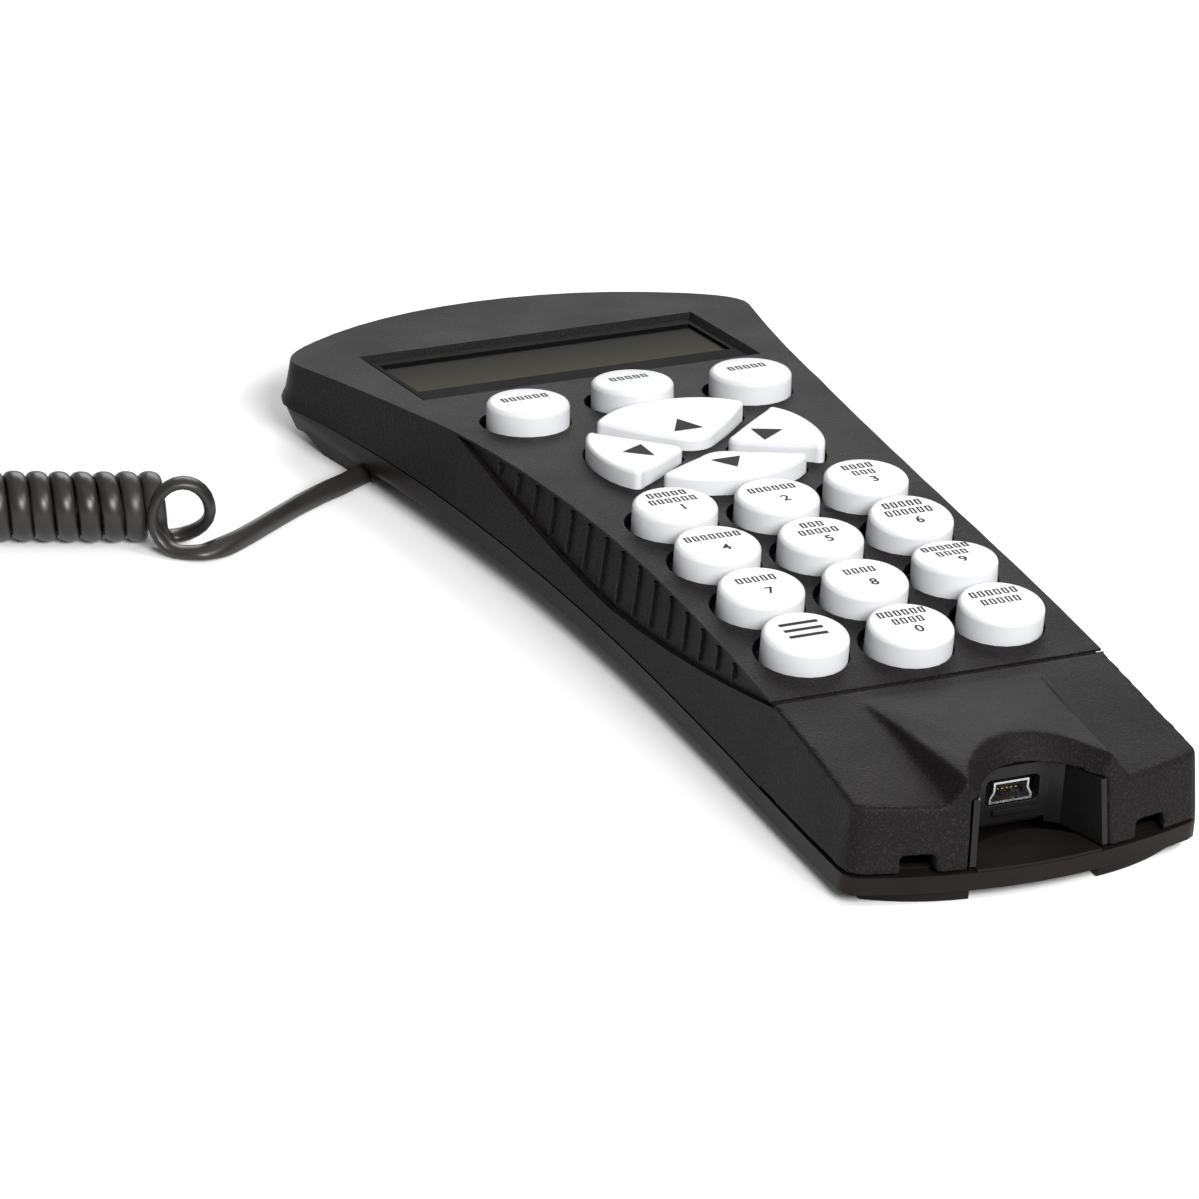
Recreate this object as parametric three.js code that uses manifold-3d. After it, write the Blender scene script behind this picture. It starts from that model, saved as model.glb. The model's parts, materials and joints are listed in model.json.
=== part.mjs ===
// Hand controller for a telescope mount: a two-part casing with a display, nineteen keys,
// a USB service port and a curly cord.  Millimetres, +Z up, lying on its back on a table.
// Case frame: X to the right, Y towards the display, Z out of the face, origin on the face
// at the middle of the number pad.  The handset group turns and lifts that frame so that
// the underside touches Z = 0 and the handset's footprint is centred on the origin.

import * as THREE from 'three';
import { mergeVertices } from 'three/addons/utils/BufferGeometryUtils.js';
import Module from 'manifold-3d';

const wasm = await Module();
wasm.setup();

// ---------------------------------------------------------------- driving dimensions

const GAP = 0.3;                 // clearance between touching pieces
const WALL = 2.2;                // casing wall
const BIG = 90;                  // reach of the long cutting prisms

const BOTTOM_END = -66.8;        // casing's USB end
const TOP_END = 153;             // casing's display end
const FACE_RADIUS = 640;         // the keypad face bulges along Y
const FACE_TOP_Y = 8;            // highest line of that bulge
const CREASE_Y = 85;             // the face folds here into the display facet
const DISPLAY_SLOPE = -0.155;

const SEAM_Z = -16.1;            // parting line of the two halves
const SEAM_FALL_Y = -20;         // it falls gently from here
const SEAM_FALL = 0.012;
const SEAM_BEND_Y = 80;          // and faster from here
const SEAM_BEND = 0.00085;
const SEAM_FLAT_Y = 138;
const SEAM_RISE_Y = -32;         // and rises a little towards the USB end
const SEAM_RISE = 0.0009;
const SEAM_END_Y = -64;
const SEAM_GAP = 0.45;
const BAND = 3.6;                // height of the rear half's outer band
const TALL_BAND = 4.9;           // the same under the display
const LIP_RISE = 2.4;            // the rear half's inner lip overlaps the front half

const KEY_RADIUS = 7.25;
const KEY_HEIGHT = 3.75;         // above the face
const KEY_HOLE = 8.1;
const KEY_OFFSET = 0.5;          // the keys sit to the right in their holes
const KEY_TRAVEL = 1.5;
const COLUMN_PITCH = 18;
const ROW_PITCH = 16.5;
const MIDDLE_DROP = 2.3;         // the middle column sits lower on the pad
const TOP_ROW_Y = 84.6;
const TOP_ROW_PITCH = 21.5;
const TOP_ROW_RISE = 3;        // and higher in the top row
const PAD_Y = 58.4;              // middle of the four direction keys
const PAD_HEIGHT = 3;

const DISPLAY_Y = 117.6;         // middle of the display window
const WINDOW = { width: 66, height: 29, slope: 1.3, depth: 1.6, thick: 1.2 };

const PORT = { back: -57.3, roof: -3.2, liner: 1, wall: 1.6, panelBottom: -13.5 };
const PORT_WINDOW = { x0: -4.6, x1: 5.1, z0: -10.3, z1: -5.6, radius: 1 };
const PORT_LEDGE = { x0: -3.75, x1: 4.2, z0: -11.8, z1: -10.9, reach: 0.7 };
const USB = { width: 7.7, height: 3.8, length: 9.2, x: -0.35, y: -57, z: -8.2, shell: 0.35, contactPitch: 0.8 };
const SLOT = { x: 20.9, width: 5.8, top: -12.1 };
const GROOVE = { y0: -30.2, y1: -29.4, depth: 0.6 };

const SCREWS = [[-23, -42], [23, -42], [-31, 96.8], [31, 96.8], [-30, 139], [30, 139]];
const SCREW = { head: 2.5, headHeight: 1.8, shank: 1.3, longest: 12 };

const BOARD = { y0: -28, y1: 95, halfWidth: 26.5, slope: -0.042, top: -9.1, thick: 1.6 };
const BOARD_SCREWS = [[-23.5, -24.5], [23.5, -24.5], [-23.5, 70], [23.5, 70]];

const LYING_TILT = 0.03266;      // slope of the case frame when the handset lies on its back
const LYING_Y = -44.2;           // and its place along Y
const CORD_DIAMETER = 2.7;
const COIL_DIAMETER = 11.9;

// ---------------------------------------------------------------- faces of the casing

function faceZ(y) {
  if (y < CREASE_Y) return -((y - FACE_TOP_Y) ** 2) / (2 * FACE_RADIUS);
  const atCrease = -((CREASE_Y - FACE_TOP_Y) ** 2) / (2 * FACE_RADIUS);
  return atCrease + DISPLAY_SLOPE * (y - CREASE_Y);
}

function faceSlope(y) {
  if (y < CREASE_Y) return -(y - FACE_TOP_Y) / FACE_RADIUS;
  return DISPLAY_SLOPE;
}

function seamZ(y) {
  const at = Math.min(y, SEAM_FLAT_Y);
  const fall = SEAM_FALL * Math.max(0, at - SEAM_FALL_Y) + SEAM_BEND * Math.max(0, at - SEAM_BEND_Y) ** 2;
  const rise = SEAM_RISE * Math.min(0, Math.max(y, SEAM_END_Y) - SEAM_RISE_Y) ** 2;
  return SEAM_Z - fall + rise;
}

const SEAM_STATIONS = [
  -75, SEAM_END_Y, -48, SEAM_RISE_Y, SEAM_FALL_Y, 60, 80, 92, 104, 116, 128, SEAM_FLAT_Y, 165,
];

// The rear half's band grows taller between the keypad and the display.
function bandHeight(y) {
  const [from, to] = [60, 104];
  const at = THREE.MathUtils.clamp(y, from, to);
  return THREE.MathUtils.mapLinear(at, from, to, BAND, TALL_BAND);
}

// The underside is almost flat, then a ramp leads down to the housing that holds the cord.
const UNDERSIDE = [[-75, -18.9], [-58, -18.9], [-50, -20.9], [60, -20.9], [85, -22], [105, -23.3], [165, -26]];
const HOUSING = [[103, -22.5], [106, -23.6], [113, -26.9], [128, -27.5], [165, -26.4]];

// Where the case screws' heads sit, and how far their tips reach up.
const screwSeat = (y) => seamZ(y) - 2.6;
const screwBase = (y) => screwSeat(y) - SCREW.headHeight - GAP;
const screwTip = (y) => Math.min(faceZ(y) - 4.4, screwBase(y) + SCREW.longest);

function heightOn(line, y) {
  const after = Math.max(1, line.findIndex((point) => point[0] >= y));
  const [y0, z0] = line[after - 1];
  const [y1, z1] = line[after];
  return z0 + ((z1 - z0) * (y - y0)) / (y1 - y0);
}

// Right half of the casing's outline, from the USB end to the display end: each entry is
// the control point and the end point of one quadratic curve, and its number of steps.
const OUTLINE = [
  { by: [14, BOTTOM_END], to: [29.2, -62.1], steps: 5 },
  { by: [31, -61.55], to: [30.85, -59.8], steps: 3 },
  { by: [29.9, -25], to: [29.9, 8], steps: 5 },
  { by: [29.9, 70.3], to: [44.1, 132.5], steps: 9 },
  { by: [45.1, 136.9], to: [36.1, 142.5], steps: 6 },
  { by: [19.6, TOP_END], to: [0, TOP_END], steps: 6 },
];

function outlineSamples() {
  const samples = [];
  let from = new THREE.Vector2(0, BOTTOM_END);
  for (const { by, to, steps } of OUTLINE) {
    const end = new THREE.Vector2(...to);
    const curve = new THREE.QuadraticBezierCurve(from, new THREE.Vector2(...by), end);
    for (let i = samples.length ? 1 : 0; i <= steps; i += 1) {
      const tangent = curve.getTangent(i / steps);
      samples.push({ at: curve.getPoint(i / steps), out: new THREE.Vector2(tangent.y, -tangent.x) });
    }
    from = end;
  }
  return samples;
}

const CASE_SAMPLES = outlineSamples();

// The whole outline, moved outwards by sideways on the long sides and by endways on the ends;
// usbEnd is the move of the USB end where that differs.
function caseOutline(sideways, endways = sideways, usbEnd = endways) {
  const right = CASE_SAMPLES.map(({ at, out }) => (
    new THREE.Vector2(at.x + out.x * sideways, at.y + out.y * (at.y < 0 ? usbEnd : endways))));
  // points that a deep inset would drag past each other at a corner share one place
  for (let i = 1; i < right.length; i += 1) {
    const step = right[i].clone().sub(right[i - 1]);
    const straight = CASE_SAMPLES[i].at.clone().sub(CASE_SAMPLES[i - 1].at);
    if (step.dot(straight) < 0) right[i].copy(right[i - 1]);
  }
  const left = right.slice(1, -1).reverse().map((point) => new THREE.Vector2(-point.x, point.y));
  return [...right, ...left];
}

// The whole outline made narrower and shorter about the casing's middle.
function shrunkOutline(byWidth, byLength) {
  const middle = (BOTTOM_END + TOP_END) / 2;
  return caseOutline(0).map((point) => (
    new THREE.Vector2(point.x * byWidth, middle + (point.y - middle) * byLength)));
}

// ---------------------------------------------------------------- solids

// A closed solid through outlines with equal numbers of points, stacked along Z.
function loft(levels) {
  const count = levels[0].outline.length;
  const positions = levels.flatMap(({ outline, z }) => outline.flatMap((p) => [p.x, p.y, z]));
  const index = [];
  for (let level = 0; level + 1 < levels.length; level += 1) {
    for (let i = 0; i < count; i += 1) {
      const a = level * count + i;
      const b = level * count + ((i + 1) % count);
      index.push(a, b, b + count, a, b + count, a + count);
    }
  }
  const last = (levels.length - 1) * count;
  for (const [a, b, c] of THREE.ShapeUtils.triangulateShape(levels[0].outline, [])) {
    index.push(a, c, b);
  }
  for (const [a, b, c] of THREE.ShapeUtils.triangulateShape(levels.at(-1).outline, [])) {
    index.push(last + a, last + b, last + c);
  }
  const geometry = new THREE.BufferGeometry();
  geometry.setAttribute('position', new THREE.Float32BufferAttribute(positions, 3));
  geometry.setIndex(index);
  return geometry;
}

function polygon(points) {
  return new THREE.Shape(points.map(([x, y]) => new THREE.Vector2(x, y)));
}

// A side profile (Y, Z) drawn out along X, from -reach to +reach.
function profileAlongX(points, reach = BIG) {
  const geometry = new THREE.ExtrudeGeometry(polygon(points), { depth: 2 * reach, bevelEnabled: false });
  const turn = new THREE.Matrix4().makeBasis(
    new THREE.Vector3(0, 1, 0), new THREE.Vector3(0, 0, 1), new THREE.Vector3(1, 0, 0));
  return geometry.applyMatrix4(turn).translate(-reach, 0, 0);
}

// An end profile (X, Z) drawn out along Y, from y0 to y1.
function profileAlongY(shape, y0, y1) {
  const geometry = new THREE.ExtrudeGeometry(shape, { depth: y1 - y0, bevelEnabled: false, curveSegments: 6 });
  const turn = new THREE.Matrix4().makeBasis(
    new THREE.Vector3(-1, 0, 0), new THREE.Vector3(0, 0, 1), new THREE.Vector3(0, 1, 0));
  return geometry.applyMatrix4(turn).translate(0, y0, 0);
}

function box(x0, x1, y0, y1, z0, z1) {
  const geometry = new THREE.BoxGeometry(x1 - x0, y1 - y0, z1 - z0);
  return geometry.translate((x0 + x1) / 2, (y0 + y1) / 2, (z0 + z1) / 2);
}

// A cylinder that stands on Z, from z0 to z1.
function post(radius, x, y, z0, z1, sides = 20, topRadius = radius) {
  const geometry = new THREE.CylinderGeometry(topRadius, radius, z1 - z0, sides);
  return geometry.rotateX(Math.PI / 2).translate(x, y, (z0 + z1) / 2);
}

function extrudeUp(shape, z0, z1, curveSegments = 8) {
  const geometry = new THREE.ExtrudeGeometry(shape, { depth: z1 - z0, bevelEnabled: false, curveSegments });
  return geometry.translate(0, 0, z0);
}

function toSolid(geometry) {
  const plain = geometry.clone();
  plain.deleteAttribute('normal');
  plain.deleteAttribute('uv');
  const merged = mergeVertices(plain, 1e-4);
  const corners = merged.index.array;
  const kept = [];
  for (let i = 0; i < corners.length; i += 3) {
    const [a, b, c] = corners.slice(i, i + 3);
    if (a !== b && b !== c && c !== a) kept.push(a, b, c);
  }
  return new wasm.Manifold(new wasm.Mesh({
    numProp: 3,
    vertProperties: new Float32Array(merged.attributes.position.array),
    triVerts: new Uint32Array(kept),
  }));
}

function toGeometry(solid) {
  const { vertProperties, triVerts } = solid.getMesh();
  const geometry = new THREE.BufferGeometry();
  geometry.setAttribute('position', new THREE.BufferAttribute(vertProperties, 3));
  geometry.setIndex(new THREE.BufferAttribute(triVerts, 1));
  geometry.computeVertexNormals();
  return geometry;
}

// A pan-head screw that points up from its head's underside at the origin.
function screwGeometry(length, size = 1) {
  const { head, headHeight, shank } = SCREW;
  const profile = [
    [0, 0.9], [0.9, 0.9], [1, 0], [head - 0.4, 0], [head, 0.5], [head, headHeight],
    [shank, headHeight],
  ].map(([r, z]) => new THREE.Vector2(r * size, z * size));
  profile.push(new THREE.Vector2(shank * size, length - 1), new THREE.Vector2(0, length));
  return new THREE.LatheGeometry(profile, 8).rotateX(Math.PI / 2);
}

// Geometry that sits on the face at (x, y), turned with the face's slope there.
function onFace(geometry, x, y, extraTilt = 0) {
  return geometry.rotateX(Math.atan(faceSlope(y)) + extraTilt).translate(x, y, faceZ(y));
}

// ---------------------------------------------------------------- materials

const material = (color, roughness, metalness = 0) => (
  new THREE.MeshStandardMaterial({ color, roughness, metalness }));

const finish = {
  casing: () => material(0x2b292a, 0.62),
  rearCasing: () => material(0x1d1a1a, 0.5),
  key: () => material(0xeef0f3, 0.45),
  window: () => material(0x0c0c0c, 0.08),
  glass: () => material(0x4a4b38, 0.15),
  metal: () => material(0xb9bcc0, 0.3, 1),
  gold: () => material(0xc9a24a, 0.3, 1),
  board: () => material(0x1f5b35, 0.5),
  silicone: () => material(0xd8dade, 0.7),
  blackPlastic: () => material(0x141414, 0.45),
  rubber: () => material(0x161616, 0.85),
  cord: () => material(0x1b1919, 0.5),
  light: () => material(0xe9e6d8, 0.5),
};

const handset = new THREE.Group();
const table = new THREE.Group();

function place(parent, name, geometry, look) {
  const mesh = new THREE.Mesh(geometry, look());
  mesh.name = name;
  parent.add(mesh);
  return mesh;
}

// ---------------------------------------------------------------- keys and their holes

const numberRowY = (row) => (2 - row) * ROW_PITCH;

function keyPlaces() {
  const names = [
    ['key_1', 'key_2', 'key_3'],
    ['key_4', 'key_5', 'key_6'],
    ['key_7', 'key_8', 'key_9'],
    ['key_lower_left', 'key_0', 'key_lower_right'],
  ];
  const places = [];
  names.forEach((rowNames, row) => rowNames.forEach((name, column) => {
    const side = column - 1;
    const y = numberRowY(row) - (side === 0 ? MIDDLE_DROP : 0);
    places.push({ name, x: side * COLUMN_PITCH, y, tilt: 0 });
  }));
  ['key_top_left', 'key_top_middle', 'key_top_right'].forEach((name, column) => {
    const side = column - 1;
    places.push({ name, x: side * TOP_ROW_PITCH, y: TOP_ROW_Y + (side === 0 ? TOP_ROW_RISE : 0), tilt: 0 });
  });
  return places;
}

// Two keys sit slightly askew in their holes.
const ASKEW = { key_6: 0.07, key_9: -0.1 };

const FLANGE = { reach: 8.8, halfLength: 3, bottom: -3.9, top: -3.1 };

// A round cap, hollow underneath, with two tabs that hold it in the casing.
function roundKey() {
  const edge = 0.7;
  const profile = [
    [0, -2.4], [3.6, -2.4], [3.6, FLANGE.bottom], [KEY_RADIUS, FLANGE.bottom],
    [KEY_RADIUS, KEY_HEIGHT - edge], [KEY_RADIUS - edge, KEY_HEIGHT], [0, KEY_HEIGHT],
  ].map(([r, z]) => new THREE.Vector2(r, z));
  const cap = toSolid(new THREE.LatheGeometry(profile, 16).rotateX(Math.PI / 2));
  const { reach, halfLength, bottom, top } = FLANGE;
  const tabs = toSolid(box(-reach, reach, -halfLength, halfLength, bottom, top));
  const hollow = toSolid(post(3.6, 0, 0, -5, -2.4, 16));
  return toGeometry(cap.add(tabs.subtract(hollow)));
}

// One key of the direction pad, pointing along +Y from the pad's middle: a round outer edge,
// two corners, and straight sides that run in to a blunt inner tip.
function lobe({ inner, outer, cornerX, cornerY, shoulderX, shoulderY }) {
  const shape = new THREE.Shape();
  const [sideX, sideY] = [cornerX - 1.2, cornerY - 1.2];
  shape.moveTo(0, inner);
  shape.quadraticCurveTo(shoulderX * 0.5, inner, shoulderX, shoulderY);
  shape.quadraticCurveTo((shoulderX + sideX) / 2 + 0.3, (shoulderY + sideY) / 2 - 0.3, sideX, sideY);
  shape.quadraticCurveTo(cornerX, sideY + 0.9, cornerX - 0.8, cornerY + 0.6);
  shape.quadraticCurveTo(cornerX * 0.58, outer, 0, outer);
  shape.quadraticCurveTo(-cornerX * 0.58, outer, -cornerX + 0.8, cornerY + 0.6);
  shape.quadraticCurveTo(-cornerX, sideY + 0.9, -sideX, sideY);
  shape.quadraticCurveTo(-(shoulderX + sideX) / 2 - 0.3, (shoulderY + sideY) / 2 - 0.3, -shoulderX, shoulderY);
  shape.quadraticCurveTo(-shoulderX * 0.5, inner, 0, inner);
  return shape;
}

const TALL_LOBE = { inner: 2.6, outer: 20, cornerX: 14.4, cornerY: 14.2, shoulderX: 4.2, shoulderY: 4.7 };
const LOW_LOBE = { inner: 3.8, outer: 17.6, cornerX: 13.9, cornerY: 12, shoulderX: 4, shoulderY: 5.4 };
const SIDE_LOBE = { inner: 4.6, outer: 20.7, cornerX: 10.4, cornerY: 17.4, shoulderX: 2.2, shoulderY: 6.4 };

const PAD_KEYS = [
  { name: 'key_up', turn: 0, form: TALL_LOBE },
  { name: 'key_left', turn: Math.PI / 2, form: SIDE_LOBE },
  { name: 'key_down', turn: Math.PI, form: LOW_LOBE },
  { name: 'key_right', turn: -Math.PI / 2, form: SIDE_LOBE },
];

const PAD_CLEARANCE = 0.5;
const LOBE_STEPS = 4;

// A direction key's outline moved outwards by grow, as a slab from z0 to z1.
function padPiece({ turn, form }, grow, z0, z1) {
  const points = lobe(form).curves.flatMap((curve) => (
    Array.from({ length: LOBE_STEPS }, (_, i) => {
      const at = curve.getPoint(i / LOBE_STEPS);
      const along = curve.getTangent(i / LOBE_STEPS);
      return new THREE.Vector2(at.x + along.y * grow, at.y - along.x * grow);
    })));
  return extrudeUp(new THREE.Shape(points), z0, z1).rotateZ(turn);
}

// ---------------------------------------------------------------- front casing

// The face carried down to a lower level, as a side profile.
function underFace(drop, top, floor) {
  const stations = [-75, -60, -45, -30, -15, 0, 15, 30, 45, 60, 72, CREASE_Y, 165];
  const roof = stations.map((y) => [y, Math.min(top, faceZ(y) - drop)]);
  return [[-75, floor(-75)], ...floorLine(floor), [165, floor(165)], ...roof.reverse()];
}

function floorLine(floor) {
  return SEAM_STATIONS.slice(1, -1).map((y) => [y, floor(y)]);
}

function frontOuter() {
  const walls = toSolid(frontWalls());
  return walls.intersect(toSolid(profileAlongX(underFace(0, 4, seamZ))));
}

// The side and end walls, flaring out towards the seam.
function frontWalls() {
  return loft([
    { outline: caseOutline(1.9, 2.4), z: -30 },
    { outline: caseOutline(1.9, 2.4), z: -21.5 },
    { outline: caseOutline(2.1, 2.8), z: -20 },
    { outline: caseOutline(1.5, 2.2), z: -18.5 },
    { outline: caseOutline(1.2, 1.8), z: -16 },
    { outline: caseOutline(0), z: -3 },
    { outline: caseOutline(0), z: 4 },
  ]);
}

// The plateau over the USB port: it leaves the face at the groove and ends in two ramps.
function portPlateau() {
  const start = -33;
  const end = -68;
  const rampFoot = (t) => [16.2 + 2.3 * t, -3];
  const rampTop = (t) => [16 - 3.2 * t, 4.9 * t];
  const half = (t) => [rampFoot(t), rampTop(t), [8, 5.8 * t], [0, 6.1 * t]];
  const section = (t) => {
    const y = start + (end - start) * t;
    const right = half(t).map(([x, rise]) => [x, y, faceZ(y) + rise]);
    const left = half(t).slice(0, -1).reverse().map(([x, rise]) => [-x, y, faceZ(y) + rise]);
    return [...right, ...left];
  };
  const sections = [1, 0.5, 0.02].map(section);
  const count = sections[0].length;
  const index = [];
  for (let s = 0; s + 1 < sections.length; s += 1) {
    for (let i = 0; i < count; i += 1) {
      const a = s * count + i;
      const b = s * count + ((i + 1) % count);
      index.push(a, b + count, b, a, a + count, b + count);
    }
  }
  const last = (sections.length - 1) * count;
  for (let i = 1; i + 1 < count; i += 1) {
    index.push(0, i, i + 1);
    index.push(last, last + i + 1, last + i);
  }
  const geometry = new THREE.BufferGeometry();
  geometry.setAttribute('position', new THREE.Float32BufferAttribute(sections.flat(2), 3));
  geometry.setIndex(index);
  return geometry;
}

// The scoop that opens the plateau above the port, wide at the top and narrow below; each
// level ends in an arc across the plateau.
function portScoop() {
  const mouth = -67.6;
  const steps = 14;
  const level = (halfWidth, apex, z) => {
    const outline = [];
    for (let i = 0; i <= steps; i += 1) {
      const u = 1 - (2 * i) / steps;
      outline.push(new THREE.Vector2(u * halfWidth, apex + (mouth - apex) * u * u));
    }
    outline.push(new THREE.Vector2(-halfWidth, -80), new THREE.Vector2(halfWidth, -80));
    return { outline, z };
  };
  return loft([level(12.1, -58, -3.4), level(14.5, -54.2, 0), level(17, -49.6, 3.4)]);
}

const RIBS = { first: -14, pitch: 6.05, count: 15, width: 0.7, height: 0.5 };

// Depth of the side grip's lower edge under the face edge, along Y.
function gripEdgeZ(y) {
  const [front, deepest, back] = [-31, 29, 84];
  const span = y < deepest ? deepest - front : back - deepest;
  const along = Math.min(1, Math.abs(y - deepest) / span);
  return faceZ(y) - 0.5 - 11.6 * (1 - along ** 1.7);
}

// The shallow leaf-shaped pocket on each long side, with ribs across it.
function gripCut(side) {
  const stations = [-31, -24, -14, -4, 8, 20, 29, 38, 48, 58, 68, 76, 84];
  const lower = stations.map((y) => [y, gripEdgeZ(y)]);
  const upper = stations.slice().reverse().map((y) => [y, faceZ(y) - 0.4]);
  const leaf = toSolid(profileAlongX([...lower, ...upper], BIG));
  const ring = toSolid(loft([
    { outline: caseOutline(4, 4), z: -30 },
    { outline: caseOutline(4, 4), z: 6 },
  ])).subtract(toSolid(loft([
    { outline: caseOutline(0.4, 0.4), z: -31 },
    { outline: caseOutline(0.1, 0.1), z: -16 },
    { outline: caseOutline(-0.9, -0.9), z: -3 },
    { outline: caseOutline(-0.9, -0.9), z: 7 },
  ])));
  const half = toSolid(box(side > 0 ? 0 : -BIG, side > 0 ? BIG : 0, -BIG, 2 * BIG, -BIG, BIG));
  return leaf.intersect(ring).intersect(half);
}

function ribBars(side) {
  let bars = null;
  for (let i = 0; i < RIBS.count; i += 1) {
    const y = RIBS.first + i * RIBS.pitch;
    const low = gripEdgeZ(y) + 1.2;
    const high = faceZ(y) - 1.6;
    if (high - low < 1) continue;
    const bar = toSolid(box(side * 31 - 6, side * 31 + 6, y - RIBS.width / 2, y + RIBS.width / 2, low, high));
    bars = bars ? bars.add(bar) : bar;
  }
  const skin = toSolid(loft([
    { outline: caseOutline(0.4 + RIBS.height, 0.4), z: -31 },
    { outline: caseOutline(0.1 + RIBS.height, 0.1), z: -16 },
    { outline: caseOutline(-0.9 + RIBS.height, -0.9), z: -3 },
    { outline: caseOutline(-0.9 + RIBS.height, -0.9), z: 7 },
  ])).subtract(toSolid(loft([
    { outline: caseOutline(-1.2, -1.2), z: -32 },
    { outline: caseOutline(-1.8, -1.8), z: 8 },
  ])));
  return bars.intersect(skin);
}

function windowRecess(grow) {
  const { width, height, slope, depth } = WINDOW;
  const rectangle = (inset) => {
    const x = width / 2 - inset + grow;
    const y = height / 2 - inset + grow;
    return [[x, -y], [x, y], [-x, y], [-x, -y]].map(([u, v]) => new THREE.Vector2(u, v));
  };
  const sloped = loft([
    { outline: rectangle(slope), z: -depth },
    { outline: rectangle(0), z: 0 },
    { outline: rectangle(-slope), z: depth },
  ]);
  return onFace(sloped, 0, DISPLAY_Y);
}

function frontCavity() {
  const walls = toSolid(loft([
    { outline: caseOutline(1.2 - WALL, 1.5 - WALL), z: -40 },
    { outline: caseOutline(1.0 - WALL, 1.5 - WALL), z: SEAM_Z },
    { outline: caseOutline(-WALL - 0.4), z: 4 },
  ]));
  const roof = toSolid(profileAlongX(underFace(WALL, 0, () => -60)));
  return walls.intersect(roof);
}

// Plan of the port pocket: two slanted walls and a flat back, moved outwards by grow.
function pocketPlan(grow, mouth = -80) {
  const wall = [[11.5, -67.6], [8.2, -58.8], [6.2, PORT.back]];
  const [[mouthX, mouthY], [bendX, bendY], [backX, backY]] = wall;
  const slant = (mouthX - bendX) / (bendY - mouthY);
  const x = (y) => mouthX + (mouthY - y) * slant + grow * 1.07;
  return polygon([
    [-x(mouth), mouth], [x(mouth), mouth], [bendX + grow, bendY + grow * 0.4],
    [backX + grow * 0.6, backY + grow], [-backX - grow * 0.6, backY + grow],
    [-bendX - grow, bendY + grow * 0.4],
  ]);
}

// The window in the pocket's back panel, as a bar along Y.
function portWindow(grow) {
  const { x0, x1, z0, z1, radius } = PORT_WINDOW;
  const r = radius + grow;
  const shape = new THREE.Shape();
  shape.moveTo(x0 - grow + r, z0 - grow);
  shape.absarc(x1 + grow - r, z0 - grow + r, r, -Math.PI / 2, 0, false);
  shape.absarc(x1 + grow - r, z1 + grow - r, r, 0, Math.PI / 2, false);
  shape.absarc(x0 - grow + r, z1 + grow - r, r, Math.PI / 2, Math.PI, false);
  shape.absarc(x0 - grow + r, z0 - grow + r, r, Math.PI, Math.PI * 1.5, false);
  return profileAlongY(shape, PORT.back - 1, PORT.back + 8);
}

function frontShell() {
  const pocketFloor = -14.9;
  const aboveWalls = loft([{ outline: caseOutline(0), z: -8 }, { outline: caseOutline(0), z: 8 }]);
  let shell = frontOuter().add(toSolid(portPlateau()).intersect(toSolid(aboveWalls)));
  const cutGrow = PORT.liner + GAP;
  const pocketWall = toSolid(extrudeUp(pocketPlan(cutGrow + PORT.wall), pocketFloor, 8)).intersect(shell);
  shell = shell.subtract(frontCavity()).add(pocketWall);
  for (const side of [-1, 1]) {
    shell = shell.subtract(gripCut(side)).add(ribBars(side));
  }
  for (const [x, y] of SCREWS) {
    shell = shell.add(toSolid(post(3.3, x, y, seamZ(y) - 0.2, faceZ(y) - 1, 16)));
    shell = shell.subtract(toSolid(post(SCREW.shank + GAP, x, y, -BIG, screwTip(y) + GAP, 12)));
  }
  for (const [x, y] of BOARD_SCREWS) {
    const top = faceZ(y) - 1 - BOARD.slope * y;
    const stud = toSolid(post(2.5, x, y, BOARD.top + GAP, top, 14));
    const hole = toSolid(post(1.2, x, y, BOARD.top - 1, BOARD.top + 2.8, 10));
    const turned = toGeometry(stud.subtract(hole)).rotateX(Math.atan(BOARD.slope));
    shell = shell.add(toSolid(turned));
  }
  shell = shell.subtract(toSolid(extrudeUp(pocketPlan(cutGrow), -BIG, PORT.roof)));
  shell = shell.subtract(toSolid(portScoop()));
  shell = shell.subtract(toSolid(portWindow(0.2)));
  // groove across the face above the port panel
  const { y0, y1, depth } = GROOVE;
  const groove = [[y0, faceZ(y0) - depth], [y1, faceZ(y1) - depth], [y1, 3], [y0, 3]];
  shell = shell.subtract(toSolid(profileAlongX(groove)));
  // two slots in the lower edge of the end wall
  for (const middle of [-SLOT.x, SLOT.x]) {
    const slot = box(middle - SLOT.width / 2, middle + SLOT.width / 2, -75, -58, -30, SLOT.top);
    shell = shell.subtract(toSolid(slot));
  }
  shell = shell.subtract(toSolid(windowRecess(0)));
  const opening = onFace(box(-31.9, 31.9, -13.4, 13.4, -8, 1), 0, DISPLAY_Y);
  shell = shell.subtract(toSolid(opening));
  for (const { x, y } of keyPlaces()) {
    shell = shell.subtract(toSolid(onFace(post(KEY_HOLE, -KEY_OFFSET, 0, -6, 6, 24), x, y)));
  }
  for (const key of PAD_KEYS) {
    shell = shell.subtract(toSolid(onFace(padPiece(key, PAD_CLEARANCE, -6, 6), 0, PAD_Y)));
  }
  return shell;
}

place(handset, 'front_shell', toGeometry(frontShell()), finish.casing);

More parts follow.
